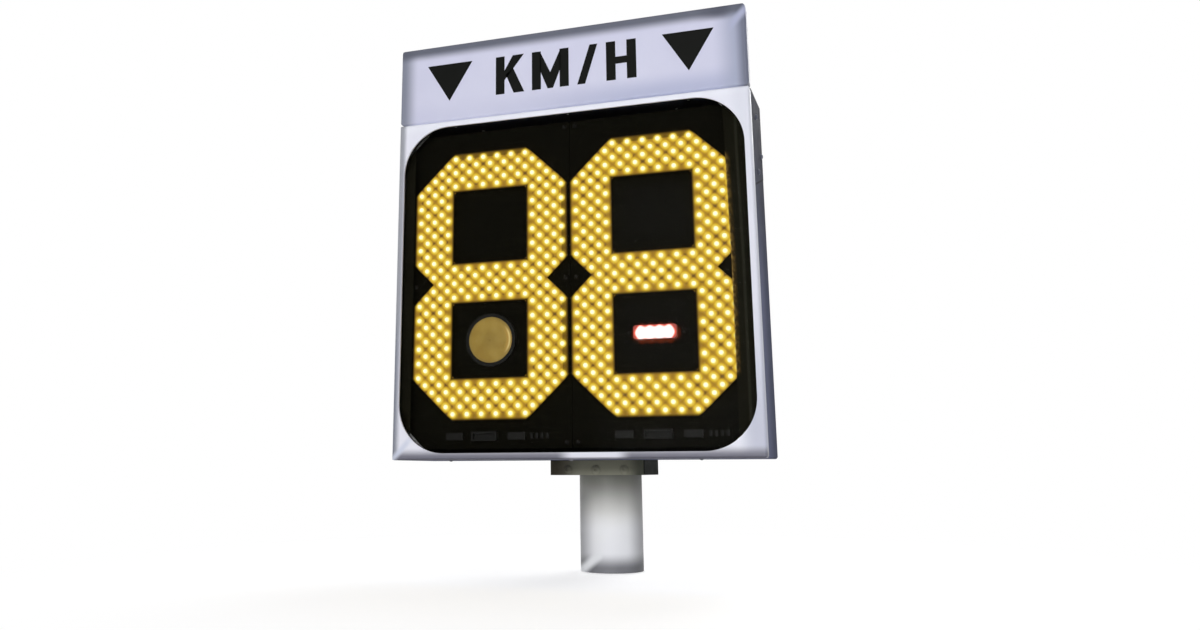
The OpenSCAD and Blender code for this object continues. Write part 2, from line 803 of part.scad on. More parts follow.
module controller_board() {
    front = cabinet_d - sheet_t - ctl_gap - ctl_size[2];
    color("seagreen") at_face() translate([ctl_at[0], 0, ctl_at[1]]) {
        difference() {
            translate([-ctl_size[0] / 2, front, -ctl_size[1] / 2])
                cube([ctl_size[0], ctl_size[2], ctl_size[1]]);
            for (sx = [-1, 1], sz = [-1, 1])
                translate([sx * ctl_pitch[0] / 2, 0, sz * ctl_pitch[1] / 2])
                    rod(front - 5, 10, inner_stud_r + fit);
        }
        translate([-20, front - 3, -5]) cube([24, 3 + eps, 24]);
        translate([-60, front - 12, -48]) cube([90, 12 + eps, 9]);
        for (x = [30, 48]) translate([x, 0, 20]) rod(front - 18, 18 + eps, 6);
        translate([22, front - 8, -20]) cube([36, 8 + eps, 22]);
        for (sx = [-1, 1], sz = [-1, 1])
            translate([sx * ctl_pitch[0] / 2, 0, sz * ctl_pitch[1] / 2])
                tube(front + ctl_size[2] - eps, ctl_gap + eps, 3, inner_stud_r + fit);
    }
}

module stud_nuts() {
    back = cabinet_d - sheet_t;
    color("silver") at_face() {
        for (sx = [-1, 1], sz = [-1, 1]) {
            translate([psu_at[0] + sx * psu_pitch[0] / 2, 0, psu_at[1] + sz * psu_pitch[1] / 2])
                hex_nut(back - 2 - 2.4, 2 * inner_stud_r, 2.4);
            translate([ctl_at[0] + sx * ctl_pitch[0] / 2, 0, ctl_at[1] + sz * ctl_pitch[1] / 2])
                hex_nut(back - ctl_gap - ctl_size[2] - 2.4, 2 * inner_stud_r, 2.4);
        }
    }
}

rail_w = 200;
rail_z = bay_mid;
module din_rail() {
    color("silver") at_face() translate([0, 0, rail_z]) across(rail_w / 2) {
        translate([cabinet_d, -10]) square([1.5, 20]);
        for (s = [-1, 1]) {
            translate([cabinet_d, s * 9.25 - 0.75]) square([6, 1.5]);
            translate([cabinet_d + 4.5, s * 12.5 - 4]) square([1.5, 8]);
        }
    }
}

terminal_count = 10;
module terminals() {
    color("gainsboro") at_face() for (k = [0:terminal_count - 1])
        translate([12 * (k - (terminal_count - 1) / 2) - 5.5, cabinet_d + 6, rail_z - 20]) difference() {
            cube([11, bay_d - 6 - sheet_t - 4, 40]);
            for (z = [8, 32]) translate([5.5, 0, z]) rod(bay_d - 6 - sheet_t - 9, 10, 2.5);
        }
}

// Pole, clamps and mounting channel, in the pole's own frame

pole_r = pole_d / 2;
web_y = cabinet_d - pole_back;
channel_z = pole_below - channel_drop;
saddle_top_z = channel_z + channel_l - saddle_h - 30;
saddle_z = [channel_z, saddle_top_z];
inner_bend = 2;
saddle_half = channel_w / 2 - channel_t - inner_bend - fit;
saddle_front = web_y + channel_t;
bolt_x = pole_r + bolt_d / 2 + 2;
ear_t = 9;
ear_gap = 2;
lip_bolt_x = [-34, 0, 34];
lip_bolt_z = 6;
pole_top = channel_z + channel_l - 18;

module channel_outline(inset) {
    r = inset > 0 ? inner_bend : inner_bend + channel_t;
    translate([-channel_w / 2 + inset, web_y + inset])
        bent_profile(channel_w - 2 * inset, channel_d, r);
}

// Screws of both saddles: one row in the lip under the cabinet, one near the top.
module at_saddle_bolts() {
    for (x = lip_bolt_x, z = saddle_z) translate([x, 0, z + lip_bolt_z]) children();
}

module mounting_channel() {
    color("darkolivegreen") difference() {
        translate([0, 0, channel_z]) linear_extrude(channel_l) channel_outline(0);
        translate([0, 0, channel_z - 1]) linear_extrude(channel_l + 2) channel_outline(channel_t);
        at_saddle_bolts() rod(web_y - 1, channel_t + 2, bolt_d / 2 + fit);
        for (x = lip_bolt_x) translate([x, 0, saddle_top_z + lip_bolt_z]) translate([0, web_y - eps, 0])
            rotate([-90, 0, 0]) cylinder(h = 3, r1 = bolt_d, r2 = bolt_d / 2 + fit);
        for (x = [-rivet_x, rivet_x], z = rivet_z)
            translate([x, 0, pole_below + z]) rod(web_y - 1, channel_t + 2, bolt_d / 2 + fit);
        for (z = [90, 190]) translate([0, 0, channel_z + z]) rotate([0, 90, 0])
            translate([0, 0, -channel_w]) linear_extrude(2 * channel_w)
                translate([0, web_y + channel_d / 2]) rounded_rect(40, 9, 4.4);
    }
}

module channel_bolts() {
    color("silver") for (x = [-rivet_x, rivet_x], z = rivet_z) translate([x, 0, pole_below + z])
        hex_bolt_forward(web_y + channel_t, bolt_d, channel_t + 12);
}

// Threaded inserts in the cabinet's rear wall, open at their front ends.
module rivet_nuts() {
    color("silver") at_face() for (x = [-rivet_x, rivet_x], z = rivet_z) translate([x, 0, z])
        difference() {
            union() {
                rod(cabinet_d - 14, 14, rivet_r);
                rod(cabinet_d - sheet_t - 1.5, 1.5, rivet_r + 1.5);
            }
            rod(cabinet_d - 15, 16, bolt_d / 2 + fit);
        }
}

module pole_saddles() {
    color("darkkhaki") for (z = saddle_z) translate([0, 0, z]) difference() {
        translate([-saddle_half, saddle_front, 0])
            cube([2 * saddle_half, -saddle_front - ear_gap / 2, saddle_h]);
        translate([0, 0, -1]) cylinder(h = saddle_h + 2, r = pole_r + fit, $fn = 96);
        for (s = [-1, 1]) translate([s * bolt_x, 0, saddle_h / 2])
            rod(-ear_gap / 2 - 16, 17, bolt_d / 2 + fit);
        for (x = lip_bolt_x) translate([x, 0, lip_bolt_z])
            rod(saddle_front - 1, 15, bolt_d / 2 + fit);
    }
}

// Lower row: pan heads below the cabinet; upper row: countersunk, flush with the web.
module saddle_bolts() {
    color("silver") {
        for (x = lip_bolt_x) translate([x, 0, saddle_z[0] + lip_bolt_z])
            socket_screw(web_y, bolt_d, channel_t + 12);
        for (x = lip_bolt_x) translate([x, web_y, saddle_z[1] + lip_bolt_z]) rotate([-90, 0, 0])
            rotate_extrude() polygon([[0, 0], [bolt_d - fit, 0], [bolt_d / 2, 3 - fit],
                [bolt_d / 2, channel_t + 12], [0, channel_t + 12]]);
    }
}

// Half-round straps with ears, one behind the pole at each saddle.
module clamp_straps() {
    color("silver") for (z = saddle_z) translate([0, 0, z]) difference() {
        union() {
            intersection() {
                cylinder(h = saddle_h, r = pole_r + strap_t, $fn = 96);
                translate([-pole_d, ear_gap / 2, -1]) cube([2 * pole_d, pole_d, saddle_h + 2]);
            }
            translate([-saddle_half, ear_gap / 2, 0]) cube([2 * saddle_half, ear_t, saddle_h]);
        }
        translate([0, 0, -1]) cylinder(h = saddle_h + 2, r = pole_r + fit, $fn = 96);
        for (s = [-1, 1]) translate([s * bolt_x, 0, saddle_h / 2])
            rod(0, 30, bolt_d / 2 + fit);
        for (s = [-1, 1]) translate([s * bolt_x, 0, saddle_h / 2])
            rod(ear_gap / 2 + ear_t, 30, bolt_d + 0.4);
    }
}

module clamp_bolts() {
    color("silver") for (z = saddle_z, s = [-1, 1]) translate([s * bolt_x, 0, z + saddle_h / 2])
        hex_bolt_forward(ear_gap / 2 + ear_t, bolt_d, ear_t + ear_gap + 14);
}

module pole() {
    color("whitesmoke") difference() {
        cylinder(h = pole_top, r = pole_r, $fn = 96);
        translate([0, 0, -1]) cylinder(h = pole_top + 2, r = pole_r - pole_wall, $fn = 96);
    }
}

// A moulded cap pushed over the pole's end, with a shallow dome and a ring inside that
// rests on the pole's wall.
cap_skirt = 10;
cap_wall = 2.4;
cap_top = 8;
cap_seat = 2;
module pole_cap() {
    dome = 4 * pole_r;
    color("dimgray") translate([0, 0, pole_top]) rotate_extrude($fn = 96) difference() {
        intersection() {
            translate([0, cap_top - dome]) circle(dome, $fn = 720);
            translate([0, -cap_skirt]) square([pole_r + fit + cap_wall, cap_skirt + cap_top]);
        }
        translate([0, -cap_skirt - 1]) square([pole_r + fit, cap_skirt + 1]);
        translate([0, -1]) square([pole_r - cap_seat, 2.5]);
    }
}

front_panel();
window_seal();
window_pane();
corner_clips();
clip_nuts();
panel_screws();
header_plate();
header_brackets();
header_screws();
cabinet_shell();
rain_cap();
cap_screws();
bay_gasket();
bay_cover();
bay_screws();
cable_gland();
wall_grommet();
chassis_pillars();
chassis_plate();
chassis_screws();
board_spacers();
board_screws();
led_board_left();
led_board_right();
leds_left();
leds_right();
board_connectors();
radar_housing();
radar_lens();
radar_board();
radar_screws();
alert_board();
alert_leds();
alert_reflector();
alert_lens();
alert_screws();
power_supply();
controller_board();
stud_nuts();
din_rail();
terminals();
mounting_channel();
channel_bolts();
rivet_nuts();
pole_saddles();
saddle_bolts();
clamp_straps();
clamp_bolts();
pole();
pole_cap();
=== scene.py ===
import json
import math

import bmesh
import bpy
from mathutils import Matrix, Vector


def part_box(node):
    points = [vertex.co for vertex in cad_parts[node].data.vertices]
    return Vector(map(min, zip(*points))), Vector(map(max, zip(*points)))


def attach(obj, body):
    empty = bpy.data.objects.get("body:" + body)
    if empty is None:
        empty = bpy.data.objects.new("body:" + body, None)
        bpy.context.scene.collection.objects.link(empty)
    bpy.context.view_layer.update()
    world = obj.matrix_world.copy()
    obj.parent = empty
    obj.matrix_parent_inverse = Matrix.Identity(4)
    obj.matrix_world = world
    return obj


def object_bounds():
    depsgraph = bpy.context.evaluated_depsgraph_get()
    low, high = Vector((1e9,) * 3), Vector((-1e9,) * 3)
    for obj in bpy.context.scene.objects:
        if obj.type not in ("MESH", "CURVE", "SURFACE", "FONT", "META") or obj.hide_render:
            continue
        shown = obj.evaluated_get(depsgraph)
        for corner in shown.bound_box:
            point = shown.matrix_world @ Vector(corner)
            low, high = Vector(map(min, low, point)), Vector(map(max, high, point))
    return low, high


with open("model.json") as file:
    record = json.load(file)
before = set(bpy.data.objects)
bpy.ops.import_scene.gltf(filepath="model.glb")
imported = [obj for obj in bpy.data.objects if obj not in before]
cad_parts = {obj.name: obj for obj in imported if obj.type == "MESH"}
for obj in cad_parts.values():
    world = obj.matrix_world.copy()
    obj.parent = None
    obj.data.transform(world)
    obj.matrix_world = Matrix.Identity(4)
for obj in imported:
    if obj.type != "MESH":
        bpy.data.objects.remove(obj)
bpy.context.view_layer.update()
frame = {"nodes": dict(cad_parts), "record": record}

MM = 0.001

# Camera, worked out from the lattice of LEDs in the photograph, which is 1200 pixels wide
IMAGE_W, IMAGE_H = 1200, 630
CAMERA_AT = Vector((307.18, -1227.21, 118.06)) * MM
CAMERA_YAW = 0.3221
CAMERA_PITCH = 0.2088
CAMERA_ROLL = -0.0026
FOCAL_PX = 1001.0
CENTRE_PX = (531.2, 258.7)
SENSOR_MM = 36.0


def make_camera():
    forward = Vector((
        -math.sin(CAMERA_YAW) * math.cos(CAMERA_PITCH),
        math.cos(CAMERA_YAW) * math.cos(CAMERA_PITCH),
        math.sin(CAMERA_PITCH),
    ))
    level = Vector((math.cos(CAMERA_YAW), math.sin(CAMERA_YAW), 0))
    upright = level.cross(forward)
    right = level * math.cos(CAMERA_ROLL) + upright * math.sin(CAMERA_ROLL)
    up = upright * math.cos(CAMERA_ROLL) - level * math.sin(CAMERA_ROLL)
    data = bpy.data.cameras.new("camera")
    data.sensor_fit = "HORIZONTAL"
    data.sensor_width = SENSOR_MM
    data.lens = FOCAL_PX / IMAGE_W * SENSOR_MM
    data.shift_x = (IMAGE_W / 2 - CENTRE_PX[0]) / IMAGE_W
    data.shift_y = (CENTRE_PX[1] - IMAGE_H / 2) / IMAGE_W
    data.clip_start = 0.01
    data.clip_end = 100
    camera = bpy.data.objects.new("camera", data)
    turn = Matrix((right, up, -forward)).transposed().to_4x4()
    camera.matrix_world = Matrix.Translation(CAMERA_AT) @ turn
    bpy.context.scene.collection.objects.link(camera)
    bpy.context.scene.camera = camera


# Node helpers


class Shader:
    """A material's node tree, with short calls that add a node and give its output."""

    def __init__(self, name):
        self.material = bpy.data.materials.new(name)
        self.material.use_nodes = True
        self.tree = self.material.node_tree
        self.surface = self.tree.nodes["Principled BSDF"]
        self.place = None

    def node(self, kind, **settings):
        made = self.tree.nodes.new(kind)
        for key, value in settings.items():
            setattr(made, key, value)
        return made

    def feed(self, socket, value):
        if isinstance(value, bpy.types.NodeSocket):
            self.tree.links.new(value, socket)
        else:
            socket.default_value = value

    def object_place(self):
        if self.place is None:
            self.place = self.node("ShaderNodeTexCoord").outputs["Object"]
        return self.place

    def axis(self, letter):
        split = self.node("ShaderNodeSeparateXYZ")
        self.feed(split.inputs[0], self.object_place())
        return split.outputs[letter]

    def math(self, operation, first, second=0.0, third=0.0, clamp=False):
        made = self.node("ShaderNodeMath", operation=operation, use_clamp=clamp)
        for socket, value in zip(made.inputs, (first, second, third)):
            self.feed(socket, value)
        return made.outputs[0]

    def ramp(self, value, stops, smooth=True):
        """Colours along a value: stops are (place, colour)."""
        made = self.node("ShaderNodeValToRGB")
        made.color_ramp.interpolation = "EASE" if smooth else "LINEAR"
        elements = made.color_ramp.elements
        while len(elements) < len(stops):
            elements.new(1.0)
        for element, (place, colour) in zip(elements, stops):
            element.position = place
            element.color = (*colour, 1.0)
        self.feed(made.inputs[0], value)
        return made.outputs["Color"]

    def step(self, value, low, high, at_low=0.0, at_high=1.0):
        made = self.node("ShaderNodeMapRange", interpolation_type="SMOOTHSTEP")
        for socket, number in zip(made.inputs, (value, low, high, at_low, at_high)):
            self.feed(socket, number)
        return made.outputs["Result"]

    def length(self, x, y):
        """Length of the flat vector (x, y)."""
        square = self.math("ADD", self.math("MULTIPLY", x, x), self.math("MULTIPLY", y, y))
        return self.math("SQRT", square)

    def noise(self, scale, detail=3.0, stretch=None, roughness=0.5):
        made = self.node("ShaderNodeTexNoise")
        made.inputs["Scale"].default_value = scale
        made.inputs["Detail"].default_value = detail
        made.inputs["Roughness"].default_value = roughness
        place = self.object_place()
        if stretch:
            mapping = self.node("ShaderNodeMapping")
            mapping.inputs["Scale"].default_value = stretch
            self.feed(mapping.inputs["Vector"], place)
            place = mapping.outputs["Vector"]
        self.feed(made.inputs["Vector"], place)
        return made.outputs["Fac"]

    def mix(self, share, first, second, blend="MIX"):
        made = self.node("ShaderNodeMix", data_type="RGBA", blend_type=blend)
        self.feed(made.inputs["Factor"], share)
        self.feed(made.inputs[6], as_colour(first))
        self.feed(made.inputs[7], as_colour(second))
        return made.outputs[2]

    def bump(self, height, strength, distance):
        made = self.node("ShaderNodeBump")
        made.inputs["Strength"].default_value = strength
        made.inputs["Distance"].default_value = distance
        self.feed(made.inputs["Height"], height)
        self.feed(self.surface.inputs["Normal"], made.outputs["Normal"])

    def set(self, **values):
        for key, value in values.items():
            self.feed(self.surface.inputs[key.replace("_", " ")], value)


def as_colour(value):
    return (*value, 1.0) if isinstance(value, tuple) and len(value) == 3 else value


def rgb(red, green, blue):
    """A screen colour, each part 0 to 255, as the linear colour that materials take."""
    parts = (red / 255, green / 255, blue / 255)
    return tuple(p / 12.92 if p <= 0.04045 else ((p + 0.055) / 1.055) ** 2.4 for p in parts)


# Places and sizes read from the frame


def size(node):
    low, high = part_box(node)
    return Vector(high) - Vector(low)


def middle(node):
    low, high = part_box(node)
    return (Vector(high) + Vector(low)) / 2


LED_COLUMNS, LED_ROWS = 21, 37
LED_STROKE, LED_NOTCH = 5, 3
LED_FLANGE = 5.9 * MM
COLUMN_STEP = (size("leds_left").x - LED_FLANGE) / (LED_COLUMNS - 1)
ROW_STEP = (size("leds_left").z - LED_FLANGE) / (LED_ROWS - 1)
DISPLAY_Z = middle("leds_left").z
FACE_MID = middle("front_panel")
FACE_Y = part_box("front_panel")[0][1]


# Materials


def powder_coat(name, colour, shade, roughness=0.42, peel=0.25, gloss=0.3):
    """Powder coat: a faint cloudy change of tone and an orange-peel surface."""
    s = Shader(name)
    tone = s.noise(14, 4)
    fine = s.noise(900, 2)
    s.coat = s.mix(s.step(tone, 0.3, 0.7), colour, shade)
    s.set(
        Base_Color=s.coat,
        Roughness=s.step(s.noise(60, 3), 0.2, 0.8, roughness - 0.05, roughness + 0.07),
        Specular_IOR_Level=gloss,
    )
    s.bump(fine, peel, 0.00012)
    return s


def tint(s, share, colour):
    """Lays a colour over the coat where the share is high."""
    s.coat = s.mix(share, s.coat, colour)
    s.set(Base_Color=s.coat)


def from_side(s, letter, side, node):
    """Distance of a point from one side of a node's box: side 0 is its low side, 1 its high one."""
    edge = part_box(node)[side]["XYZ".index(letter)]
    if side == 0:
        return s.math("SUBTRACT", s.axis(letter), edge)
    return s.math("SUBTRACT", edge, s.axis(letter))


# Middle of the painted light on the face's bottom strip.
LIT_STRIP_X = 28 * MM


def face_paint():
    s = powder_coat("face_paint", rgb(236, 237, 248), rgb(232, 233, 245))
    up = from_side(s, "Z", 0, "front_panel")
    left = from_side(s, "X", 0, "front_panel")
    right = from_side(s, "X", 1, "front_panel")
    top = from_side(s, "Z", 1, "front_panel")
    # Painted light: a lighter strip along the top.
    tint(s, s.step(top, 4 * MM, 16 * MM, 0.8, 0.0), rgb(238, 240, 250))
    # Painted shade: darker along the right side, and darker still low on the right.
    tint(s, s.step(right, 9 * MM, 30 * MM, 0.9, 0.0), rgb(222, 224, 236))
    low_right = s.math("MULTIPLY", s.step(right, 10 * MM, 30 * MM, 1, 0),
                       s.step(up, 20 * MM, 190 * MM, 1, 0))
    tint(s, low_right, rgb(196, 199, 216))
    # Painted shade: a dark strip along the left side, a little less dark high up.
    tint(s, s.step(left, 2 * MM, 11 * MM, 1.0, 0.0), rgb(130, 134, 147))
    tint(s, s.math("MULTIPLY", s.step(left, 2 * MM, 11 * MM, 1.0, 0.0), s.step(up, 110 * MM, 190 * MM)),
         rgb(157, 159, 167))
    # Painted shade along the bottom strip, weak where painted light falls on its middle.
    lit_x = s.math("ABSOLUTE", s.math("SUBTRACT", s.axis("X"), LIT_STRIP_X))
    lit = s.step(lit_x, 22 * MM, 42 * MM, 0.05, 1.0)
    tint(s, s.math("MULTIPLY", lit, s.step(up, 3 * MM, 14 * MM, 1.0, 0.0)), rgb(114, 114, 127))
    # Painted shade: a thin dark line along the bottom edge.
    tint(s, s.step(up, 0.4 * MM, 2.6 * MM, 0.8, 0.0), rgb(72, 72, 84))
    # Painted highlight: a pale diagonal at the lower left corner.
    skew = s.math("ABSOLUTE", s.math("SUBTRACT", left, up))
    near = s.math("MULTIPLY", s.step(skew, 0.5 * MM, 8 * MM, 1, 0), s.step(left, 16 * MM, 30 * MM, 1, 0))
    tint(s, s.math("MULTIPLY", near, 0.85), rgb(210, 216, 234))
    return s.material


def header_paint():
    s = powder_coat("header_paint", rgb(212, 213, 234), rgb(208, 209, 231))
    left = from_side(s, "X", 0, "header_plate")
    right = from_side(s, "X", 1, "header_plate")
    top = from_side(s, "Z", 1, "header_plate")
    low = from_side(s, "Z", 0, "header_plate")
    # Painted shade: darker along the bottom, more so towards the right.
    rightward = s.step(left, 90 * MM, 330 * MM, 0.2, 1.0)
    tint(s, s.math("MULTIPLY", rightward, s.step(low, 4 * MM, 30 * MM, 0.9, 0.0)), rgb(176, 181, 210))
    # Painted shade along the right, left and top edges.
    tint(s, s.step(right, 8 * MM, 40 * MM, 0.95, 0.0), rgb(160, 166, 190))
    tint(s, s.step(left, 4 * MM, 24 * MM, 1.0, 0.0), rgb(130, 134, 150))
    tint(s, s.step(right, 3 * MM, 14 * MM, 0.9, 0.0), rgb(104, 108, 126))
    tint(s, s.step(top, 6 * MM, 19 * MM, 0.95, 0.0), rgb(86, 90, 104))
    # Painted shade: darker under the top edge near the right end.
    rim = s.math("MULTIPLY", s.step(right, 10 * MM, 26 * MM), s.step(right, 60 * MM, 30 * MM))
    tint(s, s.math("MULTIPLY", rim, s.step(top, 7 * MM, 20 * MM, 0.8, 0.0)), rgb(74, 77, 92))
    # Painted highlight: a pale diagonal at the top right corner.
    skew = s.math("ABSOLUTE", s.math("SUBTRACT", right, s.math("SUBTRACT", top, 8 * MM)))
    corner = s.math("MULTIPLY", s.step(skew, 1 * MM, 10 * MM, 0.95, 0), s.step(right, 12 * MM, 24 * MM, 1, 0))
    tint(s, corner, rgb(174, 179, 206))
    return s.material


CAP_FRONT = 16 * MM
CAP_SEAM_Z = 419 * MM
CAP_SEAM_RISE = 32 / 98


def cabinet_paint():
    s = powder_coat("cabinet_paint", rgb(112, 117, 144), rgb(106, 111, 138), roughness=0.6, gloss=0.012)
    # Painted shade: darker towards the back.
    depth = from_side(s, "Y", 0, "cabinet_shell")
    tint(s, s.step(depth, 5 * MM, 90 * MM), rgb(76, 80, 102))
    # Painted shade: darker towards the top, darkest at the very top.
    rise = s.step(s.axis("Z"), 280 * MM, 470 * MM)
    tint(s, s.math("MULTIPLY", rise, 0.9), rgb(54, 55, 66))
    tint(s, s.step(s.axis("Z"), 435 * MM, 500 * MM, 0.0, 0.5), rgb(36, 37, 46))
    from_front = s.math("SUBTRACT", s.axis("Y"), FACE_Y + CAP_FRONT)
    seam = s.math("MULTIPLY_ADD", from_front, CAP_SEAM_RISE, CAP_SEAM_Z)
    seam = s.math("ABSOLUTE", s.math("SUBTRACT", s.axis("Z"), seam))
    tint(s, s.step(seam, 0.6 * MM, 1.6 * MM, 0.8, 0.0), rgb(22, 23, 30))
    # Painted shade: near black inside the shell, off its outer sides, back and floor and below the cap.
    half = size("cabinet_shell").x / 2
    wall = s.step(s.math("ABSOLUTE", s.axis("X")), half - 1.5 * MM, half - 0.5 * MM, 1.0, 0.0)
    back = s.step(from_side(s, "Y", 1, "cabinet_shell"), 0.5 * MM, 1.5 * MM)
    floor = s.step(from_side(s, "Z", 0, "cabinet_shell"), 0.5 * MM, 1.5 * MM)
    below_cap = s.step(s.axis("Z"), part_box("rain_cap")[0][2] - 1 * MM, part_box("rain_cap")[0][2], 1.0, 0.0)
    inside = s.math("MULTIPLY", s.math("MULTIPLY", wall, back), s.math("MULTIPLY", floor, below_cap))
    tint(s, inside, rgb(14, 14, 11))
    return s.material


def painted_shade_plate():
    """Matt black for the plate behind the LED boards, painted as shade, as only black is seen beside them."""
    return powder_coat("painted_shade_plate", rgb(20, 20, 16), rgb(16, 16, 13), roughness=0.7, gloss=0.03).material


def channel_paint():
    s = powder_coat("channel_paint", rgb(132, 132, 117), rgb(124, 124, 110),
                    roughness=0.65, peel=0.35, gloss=0.02)
    half = size("mounting_channel").x / 2
    left = s.math("DIVIDE", from_side(s, "X", 0, "mounting_channel"), half)
    right = s.math("DIVIDE", from_side(s, "X", 1, "mounting_channel"), half)
    # Painted shade: darker towards both sides, darkest along the right edge.
    tint(s, s.step(left, 0.1, 0.75, 1.0, 0.0), rgb(70, 66, 57))
    tint(s, s.step(right, 0.05, 0.45, 1.0, 0.0), rgb(84, 86, 76))
    tint(s, s.step(from_side(s, "X", 1, "mounting_channel"), 0.3 * MM, 1.5 * MM, 1.0, 0.0), rgb(22, 24, 22))
    # Painted light: the middle of the lower edge is lighter.
    foot = s.step(from_side(s, "Z", 0, "mounting_channel"), 1 * MM, 9 * MM, 1.0, 0.0)
    middle_share = s.math("MULTIPLY", s.step(left, 0.3, 0.7), s.step(right, 0.1, 0.5))
    tint(s, s.math("MULTIPLY", foot, middle_share), rgb(150, 150, 134))
    return s.material


# The front turn sets which sides take painted shade; the slope below sets a diagonal painted highlight at the
# foot.
POLE_FRONT_TURN = math.radians(14)
PAINTED_GLINT_SLOPE = 0.92
SIDE_SHADE = (0.36, 0.36, 0.37)


def pole_paint():
    """White coat, with the photograph's darker sides, foot and top painted as shade on the side that faces
    the front, and a painted highlight low on its left.
    """
    s = powder_coat("pole_paint", rgb(252, 253, 255), rgb(249, 250, 255),
                    roughness=0.55, peel=0.12, gloss=0.8)
    radius = size("pole").x / 2
    height = s.axis("Z")
    across = s.math("ADD", s.math("MULTIPLY", s.axis("X"), math.cos(POLE_FRONT_TURN)),
                    s.math("MULTIPLY", s.axis("Y"), math.sin(POLE_FRONT_TURN)))
    # Painted shade: on the front, darker towards the top under the channel.
    front = s.step(s.axis("Y"), 12 * MM, 26 * MM, 1.0, 0.0)
    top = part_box("mounting_channel")[0][2]
    below = s.math("MULTIPLY", front, s.step(height, top, top + 14 * MM, 1.0, 0.0))
    tint(s, s.math("MULTIPLY", below, s.step(height, 46 * MM, 76 * MM)), rgb(226, 226, 223))
    tint(s, s.math("MULTIPLY", below, s.step(height, 60 * MM, top)), rgb(94, 95, 86))
    # Painted shade: darker at the foot on the front.
    foot = s.math("MULTIPLY", front, s.step(height, 5 * MM, 24 * MM, 1.0, 0.0))
    tint(s, foot, rgb(114, 115, 121))
    # Painted shade on the sides of the front, except high on the left.
    side = s.step(s.math("ABSOLUTE", across), 0.42 * radius, 1.1 * radius)
    left_top = s.math("MULTIPLY", s.step(across, 0.0, -6 * MM), s.step(height, 84 * MM, 104 * MM))
    side = s.math("MULTIPLY", side, s.math("MULTIPLY", below, s.math("SUBTRACT", 1.0, left_top)))
    s.coat = s.mix(side, s.coat, SIDE_SHADE, blend="MULTIPLY")
    # Painted highlight: a pale diagonal low on the left of the front.
    glint_z = s.math("MULTIPLY", s.math("ADD", across, radius), PAINTED_GLINT_SLOPE)
    mitre = s.math("ABSOLUTE", s.math("SUBTRACT", height, glint_z))
    mitre = s.math("MULTIPLY", s.step(mitre, 1 * MM, 11 * MM, 1.0, 0.0),
                   s.step(height, 18 * MM, 30 * MM, 1.0, 0.0))
    tint(s, s.math("MULTIPLY", mitre, s.math("MULTIPLY", front, s.step(across, -8 * MM, -14 * MM))),
         rgb(250, 252, 255))
    return s.material


def metal(name, colour, roughness, grain=None, plating=None):
    """Bare or plated metal with a grain and small changes of roughness."""
    s = Shader(name)
    streaks = s.noise(260, 4, stretch=grain or (1, 1, 1))
    patches = s.noise(40, 3)
    s.set(
        Base_Color=s.mix(s.step(patches, 0.35, 0.75), colour, plating or colour),
        Metallic=1.0,
        Roughness=s.step(streaks, 0.25, 0.75, roughness - 0.08, roughness + 0.12),
    )
    s.bump(streaks, 0.12, 0.00008)
    return s.material


def moulded(name, colour, roughness=0.5, shade=None, texture=1400, gloss=0.3):
    """Moulded plastic or rubber with a fine spark-eroded texture."""
    s = Shader(name)
    darker = shade or tuple(part * 0.8 for part in colour)
    s.set(
        Base_Color=s.mix(s.step(s.noise(35, 3), 0.3, 0.7), colour, darker),
        Roughness=s.step(s.noise(120, 2), 0.3, 0.7, roughness - 0.06, roughness + 0.06),
        Specular_IOR_Level=gloss,
    )
    s.bump(s.noise(texture, 2), 0.2, 0.0001)
    return s.material


def smoked_pane():
    """A clear pane with a light smoke tint, so that the lit digits stay bright behind it."""
    s = Shader("smoked_pane")
    s.set(
        Base_Color=as_colour(rgb(12, 12, 8)),
        Roughness=0.06,
        Alpha=0.1,
        Specular_IOR_Level=0.03,
    )
    s.bump(s.noise(9, 2), 0.05, 0.0004)
    s.material.surface_render_method = "BLENDED"
    return s.material


def led_distance(s, lean=0.0):
    """Distance of a point from the axis of the nearest LED, in metres.

    LEDs stand on every second point of the lattice, so their places are whole along its diagonals.
    A lean above 0 draws the light out along the diagonal that falls to the right.
    """
    column = s.math("DIVIDE", s.axis("X"), COLUMN_STEP)
    row = s.math("DIVIDE", s.math("SUBTRACT", s.axis("Z"), DISPLAY_Z), ROW_STEP)
    rise = s.math("MULTIPLY", s.math("ADD", column, row), 0.5)
    fall = s.math("MULTIPLY", s.math("SUBTRACT", column, row), 0.5)
    off_rise = s.math("SUBTRACT", rise, s.math("ROUND", rise))
    off_fall = s.math("SUBTRACT", fall, s.math("ROUND", fall))
    x = s.math("MULTIPLY", s.math("ADD", off_rise, off_fall), COLUMN_STEP)
    z = s.math("MULTIPLY", s.math("SUBTRACT", off_rise, off_fall), ROW_STEP)
    square = s.math("ADD", s.math("MULTIPLY", x, x), s.math("MULTIPLY", z, z))
    square = s.math("ADD", square, s.math("MULTIPLY", s.math("MULTIPLY", x, z), lean))
    return s.math("SQRT", square)


WHITE_HOT = rgb(255, 255, 246)
PALE_YELLOW = rgb(255, 240, 140)
YELLOW = rgb(255, 218, 72)
GLOW_REACH = 8.5 * MM
GLOW_STOPS = [
    (0.0, PALE_YELLOW),
    (0.3, PALE_YELLOW),
    (0.46, YELLOW),
    (0.62, rgb(228, 184, 54)),
    (0.74, rgb(203, 158, 48)),
    (0.86, rgb(187, 144, 47)),
    (1.0, rgb(180, 136, 46)),
]
GLOW_LEAN = 0.42
HALO = (3.8 * MM, 5.4 * MM)


